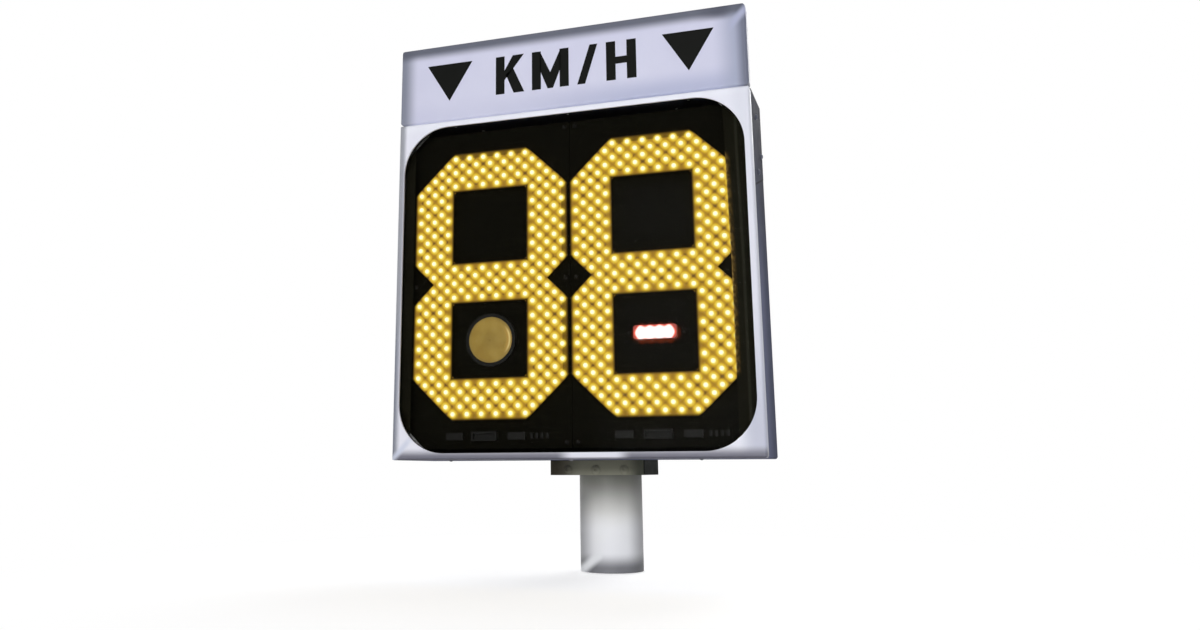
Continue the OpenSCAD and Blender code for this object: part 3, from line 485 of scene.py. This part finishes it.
def amber_led():
    """Lit amber epoxy: white-hot at the dome's middle, yellow at its rim."""
    s = Shader("amber_led")
    radius = s.math("DIVIDE", led_distance(s), LED_FLANGE / 2)
    glow = s.ramp(radius, [(0.0, WHITE_HOT), (0.62, WHITE_HOT), (0.88, PALE_YELLOW), (1.0, YELLOW)])
    s.set(Base_Color=as_colour(YELLOW), Roughness=0.25, Emission_Color=glow, Emission_Strength=1.0,
          Specular_IOR_Level=0.1)
    return s.material


def glow_surface(s, share, shine):
    """A near-black surface that shines where the share is high."""
    s.set(
        Base_Color=as_colour(rgb(10, 8, 4)),
        Roughness=0.8,
        Specular_IOR_Level=0.05,
        Emission_Color=s.mix(share, rgb(10, 8, 3), shine),
        Emission_Strength=1.0,
    )


def glow_skin():
    """The light round the LEDs, from yellow beside each one to brown between four of them."""
    s = Shader("amber_glow")
    crowd = s.node("ShaderNodeAttribute", attribute_name="crowd").outputs["Fac"]
    off = led_distance(s)
    shine = s.ramp(s.math("DIVIDE", led_distance(s, GLOW_LEAN), GLOW_REACH), GLOW_STOPS)
    spots = s.math("MULTIPLY", s.step(s.noise(120, 2), 0.45, 0.57),
                   s.step(off, 5.6 * MM, 8 * MM, 0.0, 0.8))
    shine = s.mix(spots, shine, rgb(98, 70, 42))
    amid = s.math("MAXIMUM", s.step(crowd, 0.3, 0.72), s.step(off, *HALO, 1.0, 0.0))
    glow_surface(s, amid, shine)
    return s.material


EDGE_GLOW_W = 7.5 * MM


def edge_glow():
    """The light along a digit's straight edges.

    The attribute edge_place holds lattice steps along the edge, metres out from it and the share lit.
    """
    s = Shader("amber_edge")
    place = s.node("ShaderNodeSeparateXYZ")
    s.feed(place.inputs[0], s.node("ShaderNodeAttribute", attribute_name="edge_place").outputs["Vector"])
    along = s.math("MULTIPLY", s.math("PINGPONG", place.outputs["X"], 1.0), ROW_STEP)
    out = place.outputs["Y"]
    off = s.length(along, out)
    shine = s.ramp(s.math("DIVIDE", off, GLOW_REACH), GLOW_STOPS)
    share = s.math("MULTIPLY", place.outputs["Z"], s.step(out, 3.6 * MM, EDGE_GLOW_W, 1.0, 0.0))
    share = s.math("MAXIMUM", share, s.step(off, *HALO, 1.0, 0.0))
    glow_surface(s, share, shine)
    return s.material


def board_mask(name, colour, shine, gloss=0.1):
    """Solder mask with faint tracks that run along the board."""
    s = Shader(name)
    tracks = s.noise(55, 2, stretch=(0.25, 1.0, 3.0), roughness=0.3)
    line = s.step(s.math("ABSOLUTE", s.math("SUBTRACT", tracks, 0.5)), 0.006, 0.012, 1.0, 0.0)
    s.set(Base_Color=s.mix(line, colour, shine), Roughness=0.7, Specular_IOR_Level=gloss)
    s.bump(line, 0.15, 0.00004)
    return s.material


def red_led():
    s = Shader("red_led")
    s.set(
        Base_Color=as_colour(rgb(255, 220, 215)),
        Roughness=0.3,
        Emission_Color=as_colour(rgb(255, 244, 240)),
        Emission_Strength=1.5,
    )
    return s.material


LENS_STEP_R = 23.3 * MM


def lens_plastic():
    """Tan moulding, a little darker in its middle, with a painted highlight along its right rim that is
    brightest on the step there.
    """
    s = Shader("lens_plastic")
    centre = middle("radar_lens")
    across = s.math("SUBTRACT", s.axis("X"), centre.x)
    upward = s.math("SUBTRACT", s.axis("Z"), centre.z)
    off = s.length(across, upward)
    s.coat = s.mix(s.step(s.noise(60, 4), 0.3, 0.7), rgb(190, 161, 80), rgb(172, 142, 66))
    tint(s, s.step(off, 2 * MM, 14 * MM, 0.5, 0.0), rgb(156, 130, 62))
    # Painted highlight on the right rim, brightest along the step.
    level = s.step(s.math("ABSOLUTE", upward), 6 * MM, 17 * MM, 1.0, 0.0)
    rightward = s.math("MULTIPLY", s.step(across, 6 * MM, 16 * MM), level)
    tint(s, s.math("MULTIPLY", rightward, s.step(off, 18 * MM, 22 * MM, 0.0, 0.7)), rgb(216, 172, 84))
    line = s.step(s.math("ABSOLUTE", s.math("SUBTRACT", off, LENS_STEP_R)), 0.3 * MM, 1.5 * MM)
    tint(s, s.math("MULTIPLY", rightward, s.math("SUBTRACT", 1.0, line)), rgb(255, 232, 150))
    tint(s, s.step(off, 22 * MM, 26 * MM, 0.0, 0.45), rgb(140, 122, 72))
    s.set(Roughness=0.5, Specular_IOR_Level=0.15)
    s.bump(s.noise(700, 2), 0.1, 0.0001)
    return s.material


ALERT_LEDS, ALERT_LED_W = 4, 5 * MM
LOBE_DIP = 1.6 * MM
GLOW_SAG = 0.9 * MM


def alert_outline(s):
    """How far a point lies inside the alert light's round-ended glow, less where two lobes meet."""
    centre, half = middle("alert_lens"), size("alert_lens") / 2
    across = s.math("SUBTRACT", s.axis("X"), centre.x)
    upward = s.math("SUBTRACT", s.axis("Z"), centre.z - GLOW_SAG)
    beyond = s.math("SUBTRACT", s.math("ABSOLUTE", across), half.x - half.z - GLOW_SAG)
    off = s.length(s.math("MAXIMUM", beyond, 0.0), upward)
    pitch = (size("alert_leds").x - ALERT_LED_W) / (ALERT_LEDS - 1)
    wave = s.math("COSINE", s.math("MULTIPLY", across, 2 * math.pi / pitch))
    dip = s.math("MULTIPLY", s.math("ADD", wave, 1.0), LOBE_DIP / 2)
    return s.math("SUBTRACT", s.math("SUBTRACT", half.z, off), dip)


RED_STOPS = [
    (0.0, rgb(70, 20, 8)),
    (0.4, rgb(214, 70, 36)),
    (0.72, rgb(255, 226, 216)),
    (1.0, rgb(255, 255, 255)),
]


def red_lens():
    """A lit red cover: white-hot over its LEDs, red along its rim."""
    s = Shader("red_lens")
    shine = s.ramp(s.step(alert_outline(s), -2.6 * MM, 1.4 * MM), RED_STOPS)
    s.set(
        Base_Color=as_colour(rgb(200, 90, 80)),
        Roughness=0.3,
        Specular_IOR_Level=0.1,
        Alpha=0.97,
        Emission_Color=shine,
        Emission_Strength=1.2,
    )
    s.material.surface_render_method = "BLENDED"
    return s.material


def alert_surround():
    """The alert light's black board, with a red glow beside the cover."""
    s = Shader("alert_surround")
    glow = s.step(alert_outline(s), -6.0 * MM, -1.0 * MM)
    s.set(
        Base_Color=as_colour(rgb(10, 9, 6)),
        Roughness=0.7,
        Specular_IOR_Level=0.02,
        Emission_Color=s.mix(glow, rgb(3, 2, 1), rgb(96, 36, 16)),
        Emission_Strength=1.0,
    )
    return s.material


def letter_film():
    s = Shader("letter_film")
    s.set(
        Base_Color=s.mix(s.step(s.noise(50, 3), 0.3, 0.7), rgb(5, 7, 4), rgb(9, 10, 8)),
        Roughness=0.5,
        Specular_IOR_Level=0.08,
    )
    s.bump(s.noise(500, 2), 0.05, 0.0001)
    return s.material


def make_materials():
    return {
        "face_paint": face_paint(),
        "header_paint": header_paint(),
        "cabinet_paint": cabinet_paint(),
        "channel_paint": channel_paint(),
        "pole_paint": pole_paint(),
        "zinc_steel": metal("zinc_steel", (0.52, 0.53, 0.55), 0.34, plating=(0.58, 0.56, 0.5)),
        "black_steel": moulded("black_steel", rgb(20, 19, 17), 0.55, gloss=0.12),
        "stainless": metal("stainless", (0.6, 0.6, 0.61), 0.28, grain=(1, 1, 6)),
        "aluminium": metal("aluminium", (0.66, 0.67, 0.69), 0.4, grain=(8, 1, 1)),
        "seal_rubber": moulded("seal_rubber", rgb(10, 10, 10), 0.8, gloss=0.05),
        "smoked_pane": smoked_pane(),
        "black_board": board_mask("black_board", rgb(13, 12, 7), rgb(21, 20, 13), gloss=0.02),
        "amber_led": amber_led(),
        "red_led": red_led(),
        "black_plastic": moulded("black_plastic", rgb(24, 24, 21), 0.55, gloss=0.12),
        "lens_plastic": lens_plastic(),
        "green_board": board_mask("green_board", rgb(34, 92, 62), rgb(60, 130, 90), gloss=0.4),
        "reflector_plastic": moulded("reflector_plastic", rgb(190, 120, 115), 0.3),
        "red_lens": red_lens(),
        "grey_plastic": moulded("grey_plastic", rgb(190, 192, 192), 0.45),
    }


def dress_nodes(materials):
    """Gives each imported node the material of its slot."""
    for part in frame["record"]["subparts"]:
        node = frame["nodes"][part["node"]]
        node.data.materials.clear()
        node.data.materials.append(materials[part["material_slot"]])
    screws = powder_coat("screw_paint", rgb(84, 87, 100), rgb(118, 121, 136), gloss=0.1).material
    finished = (
        ("cap_screws", screws),
        ("panel_screws", materials["face_paint"]),
        ("saddle_bolts", materials["channel_paint"]),
        # Painted shade: the chassis plate is made black.
        ("chassis_plate", painted_shade_plate()),
        ("alert_board", alert_surround()),
    )
    for name, material in finished:
        frame["nodes"][name].data.materials[0] = material


# Glow round the LEDs


def socket_id(tree, name):
    return next(item.identifier for item in tree.interface.items_tree if item.name == name)


class Geometry:
    """A geometry node tree with short calls that add a node and give its output."""

    def __init__(self, name, inputs):
        self.tree = bpy.data.node_groups.new(name, "GeometryNodeTree")
        self.tree.interface.new_socket("Geometry", in_out="INPUT", socket_type="NodeSocketGeometry")
        for key, (kind, value) in inputs.items():
            item = self.tree.interface.new_socket(key, in_out="INPUT", socket_type=kind)
            if value is not None:
                item.default_value = value
        self.tree.interface.new_socket("Geometry", in_out="OUTPUT", socket_type="NodeSocketGeometry")
        self.given = self.tree.nodes.new("NodeGroupInput").outputs
        self.result = self.tree.nodes.new("NodeGroupOutput").inputs["Geometry"]

    def node(self, kind, values=(), **settings):
        made = self.tree.nodes.new(kind)
        for key, value in settings.items():
            setattr(made, key, value)
        for key, value in dict(values).items():
            self.feed(made.inputs[key], value)
        return made

    def feed(self, socket, value):
        if isinstance(value, bpy.types.NodeSocket):
            self.tree.links.new(value, socket)
        else:
            socket.default_value = value

    def math(self, operation, first, second=0.0):
        return self.node("ShaderNodeMath", {0: first, 1: second}, operation=operation).outputs[0]

    def compare(self, operation, first, second):
        return self.node("FunctionNodeCompare", {0: first, 1: second},
                         data_type="FLOAT", operation=operation).outputs[0]

    def both(self, first, second, operation="AND"):
        return self.node("FunctionNodeBooleanMath", {0: first, 1: second}, operation=operation).outputs[0]


TRIANGLES_AMID = 8.0


def digit_tree():
    """Diamond tiles on the lit points of a digit, each with its LED at its middle."""
    g = Geometry("lit_digit", {
        "Columns": ("NodeSocketInt", LED_COLUMNS),
        "Rows": ("NodeSocketInt", LED_ROWS),
        "Column Step": ("NodeSocketFloat", COLUMN_STEP),
        "Row Step": ("NodeSocketFloat", ROW_STEP),
        "Stroke": ("NodeSocketFloat", LED_STROKE),
        "Notch": ("NodeSocketFloat", LED_NOTCH),
        "Material": ("NodeSocketMaterial", None),
    })
    columns, rows = g.given["Columns"], g.given["Rows"]
    step_x, step_y = g.given["Column Step"], g.given["Row Step"]
    last_i = g.math("SUBTRACT", columns, 1.0)
    last_j = g.math("SUBTRACT", rows, 1.0)
    grid = g.node("GeometryNodeMeshGrid", {
        "Size X": g.math("MULTIPLY", last_i, step_x),
        "Size Y": g.math("MULTIPLY", last_j, step_y),
        "Vertices X": columns, "Vertices Y": rows})
    place = g.node("ShaderNodeSeparateXYZ", {0: g.node("GeometryNodeInputPosition").outputs[0]})
    across = g.math("DIVIDE", place.outputs["X"], step_x)
    upward = g.math("DIVIDE", place.outputs["Y"], step_y)
    from_flank = g.math("SUBTRACT", g.math("DIVIDE", last_i, 2.0), g.math("ABSOLUTE", across))
    from_waist = g.math("ABSOLUTE", upward)
    from_end = g.math("SUBTRACT", g.math("DIVIDE", last_j, 2.0), from_waist)
    parity = g.math("PINGPONG", g.math("ROUND", g.math("ADD", from_flank, from_end)), 1.0)
    half_stroke = g.math("FLOOR", g.math("DIVIDE", g.given["Stroke"], 2.0))
    nearly = g.math("SUBTRACT", g.given["Stroke"], 0.5)
    odd = g.compare("GREATER_THAN", parity, 0.5)
    in_corner = g.compare("GREATER_THAN", g.math("ADD", from_flank, from_end), nearly)
    notch_edge = g.math("SUBTRACT", g.math("SUBTRACT", g.given["Notch"], from_waist), 0.5)
    past_notch = g.compare("GREATER_THAN", from_flank, notch_edge)
    deep = g.both(g.compare("GREATER_THAN", from_flank, nearly), g.compare("GREATER_THAN", from_end, nearly))
    in_hole = g.both(deep, g.compare("GREATER_THAN", from_waist, g.math("ADD", half_stroke, 0.5)))
    lit = g.both(g.both(odd, in_corner), g.both(past_notch, in_hole, "NIMPLY"))

    tile = g.node("GeometryNodeMeshCircle", {"Vertices": 4, "Radius": 1.0}, fill_type="TRIANGLE_FAN")
    off = g.node("ShaderNodeVectorMath", {0: g.node("GeometryNodeInputPosition").outputs[0]},
                 operation="LENGTH").outputs["Value"]
    marked = g.node("GeometryNodeStoreNamedAttribute",
                    {"Geometry": tile.outputs[0], "Name": "from_led", "Value": off},
                    data_type="FLOAT", domain="POINT")
    finer = g.node("GeometryNodeTransform", {"Geometry": marked.outputs[0]})
    g.feed(finer.inputs["Scale"], g.node("ShaderNodeCombineXYZ", {0: step_x, 1: step_y, 2: 1.0}).outputs[0])
    tiles = g.node("GeometryNodeInstanceOnPoints", {
        "Points": grid.outputs[0], "Selection": lit, "Instance": finer.outputs[0]})
    real = g.node("GeometryNodeRealizeInstances", {0: tiles.outputs[0]})
    merged = g.node("GeometryNodeMergeByDistance", {"Geometry": real.outputs[0], "Distance": 0.1 * MM})
    around = g.node("GeometryNodeInputMeshVertexNeighbors").outputs["Face Count"]
    from_led = g.node("GeometryNodeInputNamedAttribute", {"Name": "from_led"}, data_type="FLOAT").outputs[0]
    at_led = g.compare("LESS_THAN", from_led, 0.5)
    crowd = g.math("MAXIMUM", g.math("DIVIDE", around, TRIANGLES_AMID), at_led)
    stored = g.node("GeometryNodeStoreNamedAttribute",
                    {"Geometry": merged.outputs[0], "Name": "crowd", "Value": crowd},
                    data_type="FLOAT", domain="POINT")
    finished = g.node("GeometryNodeSetMaterial",
                      {"Geometry": stored.outputs[0], "Material": g.given["Material"]})
    g.feed(g.result, finished.outputs[0])
    return g.tree


def plain_mesh(piece):
    """Turns what the modifiers make into the piece's own mesh."""
    shape = bpy.data.meshes.new_from_object(piece.evaluated_get(bpy.context.evaluated_depsgraph_get()))
    piece.modifiers.clear()
    piece.data = shape
    shape.name = piece.name
    return shape


def add_object(name, mesh):
    made = bpy.data.objects.new(name, mesh)
    bpy.context.scene.collection.objects.link(made)
    return made


def sheet_piece(name, shapes, first_y, second_y, material):
    """A thin piece: flat outlines in X and Z, carried from one place in Y to another."""
    bm = bmesh.new()
    for shape in shapes:
        first, second = ([bm.verts.new((x, y, z)) for x, z in shape] for y in (first_y, second_y))
        bm.faces.new(first)
        bm.faces.new(list(reversed(second)))
        for k in range(len(shape)):
            n = (k + 1) % len(shape)
            bm.faces.new((first[k], first[n], second[n], second[k]))
    bmesh.ops.recalc_face_normals(bm, faces=bm.faces)
    mesh = bpy.data.meshes.new(name)
    bm.to_mesh(mesh)
    bm.free()
    mesh.materials.append(material)
    return add_object(name, mesh)


GLOW_BEHIND_TIP = 2.4 * MM
EDGE_BEFORE_GLOW = 0.05 * MM


def make_glow(side, material, tree):
    """The glow between the LEDs of one digit, level with the foot of their domes."""
    leds = "leds_" + side
    piece = add_object("digit_glow_" + side, bpy.data.meshes.new("digit_glow_" + side))
    nodes = piece.modifiers.new("lattice", "NODES")
    nodes.node_group = tree
    nodes[socket_id(tree, "Material")] = material
    mesh = plain_mesh(piece)
    centre = middle(leds)
    at = Vector((centre.x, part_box(leds)[0][1] + GLOW_BEHIND_TIP, centre.z))
    mesh.transform(Matrix.Translation(at) @ Matrix.Rotation(math.pi / 2, 4, "X"))
    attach(piece, "root")
    return piece


HOLE_COLUMN, HOLE_TOP, HOLE_LOW = 6, 14, 2
LIT_HOLE = 0.9
LIT_OUTER = {"top": 0.4, "bottom": 0.75, "left": 0.9, "right": 0.42}


def edge_lines():
    """A digit's straight edges in lattice steps: two ends, the way out, the mitre and the share lit."""
    c, lines = HOLE_COLUMN, []
    for low, high in ((HOLE_LOW, HOLE_TOP), (-HOLE_TOP, -HOLE_LOW)):
        lines += [
            ((-c, high), (c, high), (0, -1), 1, LIT_HOLE),
            ((-c, low), (c, low), (0, 1), 1, LIT_HOLE),
            ((-c, low), (-c, high), (1, 0), 1, LIT_HOLE),
            ((c, low), (c, high), (-1, 0), 1, LIT_HOLE),
        ]
    side, end = (LED_COLUMNS - 1) // 2, (LED_ROWS - 1) // 2
    cut = LED_STROKE
    lines += [
        ((cut - side, end), (side - cut, end), (0, 1), 0, LIT_OUTER["top"]),
        ((cut - side, -end), (side - cut, -end), (0, -1), 0, LIT_OUTER["bottom"]),
    ]
    for low, high in ((LED_NOTCH, end - cut), (cut - end, -LED_NOTCH)):
        lines += [
            ((-side, low), (-side, high), (-1, 0), 0, LIT_OUTER["left"]),
            ((side, low), (side, high), (1, 0), 0, LIT_OUTER["right"]),
        ]
    return lines


def make_edges(side, material):
    """Strips that carry the light out past a digit's straight edges."""
    centre = middle("leds_" + side)
    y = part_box("leds_" + side)[0][1] + GLOW_BEHIND_TIP - EDGE_BEFORE_GLOW
    corners, faces, places = [], [], []
    for first, last, way, mitre, lit in edge_lines():
        run = 0 if way[0] == 0 else 1
        step = (COLUMN_STEP, ROW_STEP)[run]
        inset = mitre * EDGE_GLOW_W / step
        ends = []
        for point, inward in ((first, inset), (last, -inset)):
            for out in (0.0, EDGE_GLOW_W):
                at = list(point)
                at[run] += inward if out else 0.0
                x = centre.x + at[0] * COLUMN_STEP + way[0] * out
                z = centre.z + at[1] * ROW_STEP + way[1] * out
                ends.append(((x, y, z), (at[run] + 1.0, out, lit)))
        order = (ends[0], ends[2], ends[3], ends[1])
        a, b, c = (Vector(order[k][0]) for k in range(3))
        if (b - a).cross(c - b).y > 0:
            order = tuple(reversed(order))
        faces.append(tuple(range(len(corners), len(corners) + 4)))
        corners += [corner for corner, _ in order]
        places += [place for _, place in order]
    mesh = bpy.data.meshes.new("digit_edges_" + side)
    mesh.from_pydata(corners, [], faces)
    stored = mesh.attributes.new("edge_place", "FLOAT_VECTOR", "POINT")
    for item, place in zip(stored.data, places):
        item.vector = place
    mesh.materials.append(material)
    piece = add_object("digit_edges_" + side, mesh)
    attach(piece, "root")
    return piece


# Header film


LETTER_H = 47 * MM
LETTER_W = 35 * MM
LETTER_STROKE = 11 * MM
LETTER_GAP = 10 * MM
FILM_T = 0.1 * MM


def letter_outlines():
    """Flat outlines of the generic header words, as lists of corners, and how wide they are."""
    h, w, b = LETTER_H, LETTER_W, LETTER_STROKE
    stem = [(0, 0), (b, 0), (b, h), (0, h)]
    k_arm = [(b, 0.36 * h), (b, 0.62 * h), (w - 1.25 * b, h), (w, h)]
    k_leg = [(w - 1.15 * b, 0), (w + 0.5 * MM, 0), (0.62 * w, 0.66 * h), (0.36 * w, 0.5 * h)]
    m_w = 1.28 * w
    m_left = [(b * 0.9, h), (b * 0.9, 0.5 * h), (m_w / 2 - 0.3 * b, 0), (m_w / 2, 0), (m_w / 2, 0.42 * h)]
    m_right = [(m_w - x, y) for x, y in reversed(m_left)]
    letters = [
        (w, [stem, k_arm, k_leg]),
        (m_w, [stem, m_left, m_right, [(x + m_w - b, y) for x, y in stem]]),
        (0.7 * w, [[(0, 0), (0.85 * b, 0), (0.7 * w, h), (0.7 * w - 0.85 * b, h)]]),
        (w, [stem, [(b, 0.41 * h), (w - b, 0.41 * h), (w - b, 0.59 * h), (b, 0.59 * h)],
             [(x + w - b, y) for x, y in stem]]),
    ]
    outlines, x = [], 0.0
    for width, shapes in letters:
        outlines += [[(px + x, py) for px, py in shape] for shape in shapes]
        x += width + LETTER_GAP
    return outlines, x - LETTER_GAP


ARROW_W = 58 * MM
ARROW_GAP = 30 * MM


def make_header_film(material):
    """Black film on the header: generic letters between two arrows that point at the digits."""
    outlines, width = letter_outlines()
    centre = middle("header_plate")
    left = centre.x - width / 2
    base = centre.z - LETTER_H / 2
    shapes = [[(x + left, z + base) for x, z in shape] for shape in outlines]
    top = base + LETTER_H
    half_w = ARROW_W / 2
    for side in (-1, 1):
        mid = centre.x + side * (width / 2 + ARROW_GAP + half_w)
        shapes.append([(mid, base), (mid + half_w, top), (mid - half_w, top)])
    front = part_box("header_plate")[0][1]
    piece = sheet_piece("header_film", shapes, front, front - FILM_T, material)
    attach(piece, "root")
    return piece


# Black print on the pane


PRINT_LINE = [(0.0, 180.1), (336.0, 180.1), (456.0, 178.1), (540.0, 177.0)]
PRINT_LEFT = 189.0
PRINT_T = 0.08 * MM
PANE_LAP = 4.2 * MM
PRINT_LAP = 1 * MM
PRINT_RADIUS = 55 * MM
ARC_STEPS = 10
OLIVE_LINE_AT = 12.5 * MM
LIT_EDGE_FOOT = (212 * MM, 222 * MM)
LIT_EDGE_TOP = (446 * MM, 458 * MM)


def print_edge(z):
    """How far right the clear part of the pane reaches at a height, in metres."""
    for (low, x_low), (high, x_high) in zip(PRINT_LINE, PRINT_LINE[1:]):
        if z <= high * MM:
            share = (z / MM - low) / (high - low)
            return (x_low + share * (x_high - x_low)) * MM
    return PRINT_LINE[-1][1] * MM


def print_outline(edge):
    """One side strip, between a line inside the window and the window's own rounded outline."""
    centre = middle("window_pane")
    half_x = size("window_pane").x / 2 - PANE_LAP + PRINT_LAP
    half_z = size("window_pane").z / 2 - PANE_LAP + PRINT_LAP
    radius = PRINT_RADIUS + PRINT_LAP
    mid_x = half_x - radius
    mid_z = half_z - radius
    end = math.acos((edge(centre.z + half_z) - mid_x) / radius)
    upper = [(mid_x + radius * math.cos(end * k / ARC_STEPS), mid_z + radius * math.sin(end * k / ARC_STEPS))
             for k in range(ARC_STEPS + 1)]
    outer = [(x, -z) for x, z in reversed(upper)] + upper
    low_z = outer[0][1] + centre.z
    inner = [(edge(low_z), outer[0][1])]
    inner += [(edge(z * MM), z * MM - centre.z) for z, _ in PRINT_LINE[1:3]]
    inner = [(x, z) for x, z in inner if outer[0][1] <= z < outer[-1][1]]
    return outer[1:] + list(reversed(inner)), centre.z


def window_print():
    """Black print; its inner edge catches the light of the LEDs beside it."""
    s = powder_coat("window_print", rgb(26, 25, 16), rgb(22, 21, 13), roughness=0.7, gloss=0.03)
    (low, x_low), (high, x_high) = PRINT_LINE[1:3]
    line = s.node("ShaderNodeMapRange")
    for socket, number in zip(line.inputs, (s.axis("Z"), low * MM, high * MM, x_low * MM, x_high * MM)):
        s.feed(socket, number)
    past = s.math("SUBTRACT", s.axis("X"), line.outputs["Result"])
    olive = s.math("ABSOLUTE", s.math("SUBTRACT", past, OLIVE_LINE_AT))
    tint(s, s.step(olive, 0.5 * MM, 2.5 * MM, 0.7, 0.0), rgb(50, 50, 40))
    near = s.step(past, 0.4 * MM, 1.6 * MM, 1.0, 0.3)
    fade = s.step(past, 1 * MM, 6 * MM, 1, 0)
    lit = s.math("MULTIPLY", s.math("MULTIPLY", near, fade), s.step(past, -2 * MM, -MM))
    beside = s.math("MULTIPLY", s.step(s.axis("Z"), *LIT_EDGE_FOOT), s.step(s.axis("Z"), *LIT_EDGE_TOP, 1, 0))
    glints = s.step(s.noise(260, 2, stretch=(1, 1, 0.8)), 0.42, 0.6, 0.3, 1.0)
    share = s.math("MULTIPLY", s.math("MULTIPLY", lit, beside), glints)
    s.set(Emission_Color=s.mix(share, (0.0, 0.0, 0.0), rgb(158, 126, 62)), Emission_Strength=1.0)
    return s.material


def make_window_print(material):
    """Two black strips printed on the pane's back; the right one covers the last column of LEDs."""
    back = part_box("window_pane")[1][1]
    shapes = []
    for side, edge in ((1, print_edge), (-1, lambda z: PRINT_LEFT * MM)):
        outline, mid_z = print_outline(edge)
        shapes.append([(side * x, mid_z + z) for x, z in outline])
    piece = sheet_piece("window_print", shapes, back, back + PRINT_T, material)
    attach(piece, "root")
    return piece


# Stage and light


FLOOR_SIZE = 60.0
FLOOR_DROP = 0.5 * MM
SHADOW_REACH = (0.25, 0.75)
FLOOR_LIFT = (0.52, 0.52, 0.52)


def make_floor():
    """A pale floor with the sign's shadow close by, plain white further out."""
    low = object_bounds()[0][2]
    mesh = bpy.data.meshes.new("floor")
    half = FLOOR_SIZE / 2
    corners = [(-half, -half), (half, -half), (half, half), (-half, half)]
    mesh.from_pydata([(x, y, low - FLOOR_DROP) for x, y in corners], [], [(0, 1, 2, 3)])
    floor = add_object("floor", mesh)
    s = Shader("floor_white")
    white = s.node("ShaderNodeEmission")
    s.feed(white.inputs["Color"], (1.0, 1.0, 1.0, 1.0))
    lift = s.node("ShaderNodeEmission")
    s.feed(lift.inputs["Color"], (*FLOOR_LIFT, 1.0))
    s.set(Base_Color=as_colour((0.9, 0.9, 0.91)), Roughness=0.9)
    paths = s.node("ShaderNodeLightPath").outputs
    seen = s.math("MAXIMUM", paths["Is Camera Ray"],
                  s.math("MAXIMUM", paths["Is Glossy Ray"], paths["Is Transmission Ray"]))
    away = s.node("ShaderNodeVectorMath", operation="LENGTH")
    s.feed(away.inputs[0], s.object_place())
    far = s.step(away.outputs["Value"], *SHADOW_REACH)
    shadowed = s.node("ShaderNodeAddShader")
    s.feed(shadowed.inputs[0], s.surface.outputs[0])
    s.feed(shadowed.inputs[1], lift.outputs[0])
    faded = s.node("ShaderNodeMixShader")
    s.feed(faded.inputs[0], far)
    s.feed(faded.inputs[1], shadowed.outputs[0])
    s.feed(faded.inputs[2], white.outputs[0])
    pick = s.node("ShaderNodeMixShader")
    s.feed(pick.inputs[0], seen)
    s.feed(pick.inputs[1], s.surface.outputs[0])
    s.feed(pick.inputs[2], faded.outputs[0])
    s.feed(s.tree.nodes["Material Output"].inputs["Surface"], pick.outputs[0])
    mesh.materials.append(s.material)


WORLD_LIGHT = 0.3


def make_world():
    world = bpy.data.worlds.new("studio")
    world.use_nodes = True
    bpy.context.scene.world = world
    tree = world.node_tree
    soft = tree.nodes["Background"]
    soft.inputs["Color"].default_value = (1, 1, 1, 1)
    soft.inputs["Strength"].default_value = WORLD_LIGHT
    white = tree.nodes.new("ShaderNodeBackground")
    white.inputs["Strength"].default_value = 1.0
    white.inputs["Color"].default_value = (1, 1, 1, 1)
    paths = tree.nodes.new("ShaderNodeLightPath").outputs
    seen = paths["Is Camera Ray"]
    for name in ("Is Glossy Ray", "Is Transmission Ray"):
        either = tree.nodes.new("ShaderNodeMath")
        either.operation = "MAXIMUM"
        tree.links.new(seen, either.inputs[0])
        tree.links.new(paths[name], either.inputs[1])
        seen = either.outputs[0]
    pick = tree.nodes.new("ShaderNodeMixShader")
    tree.links.new(seen, pick.inputs[0])
    tree.links.new(soft.outputs[0], pick.inputs[1])
    tree.links.new(white.outputs[0], pick.inputs[2])
    tree.links.new(pick.outputs[0], tree.nodes["World Output"].inputs["Surface"])


def add_lamp(name, at, width, power):
    """A square soft box that looks at the middle of the face."""
    data = bpy.data.lights.new(name, "AREA")
    data.shape = "SQUARE"
    data.size = width
    data.energy = power
    lamp = bpy.data.objects.new(name, data)
    bpy.context.scene.collection.objects.link(lamp)
    lamp.matrix_world = Matrix.Translation(at) @ (
        (Vector(FACE_MID) - Vector(at)).to_track_quat("-Z", "Y").to_matrix().to_4x4())


def make_lights():
    add_lamp("key", at=(0.1, -2.8, 0.45), width=1.5, power=45)
    add_lamp("fill", at=(2.2, -1.6, 0.9), width=1.8, power=3)
    add_lamp("back", at=(0.6, 2.2, 2.0), width=1.6, power=26)


def main():
    make_camera()
    make_world()
    make_lights()
    make_floor()
    materials = make_materials()
    dress_nodes(materials)
    glow = glow_skin()
    edge = edge_glow()
    tree = digit_tree()
    for side in ("left", "right"):
        make_glow(side, glow, tree)
        make_edges(side, edge)
    make_header_film(letter_film())
    make_window_print(window_print())
    bpy.context.scene.view_settings.view_transform = "Standard"


main()
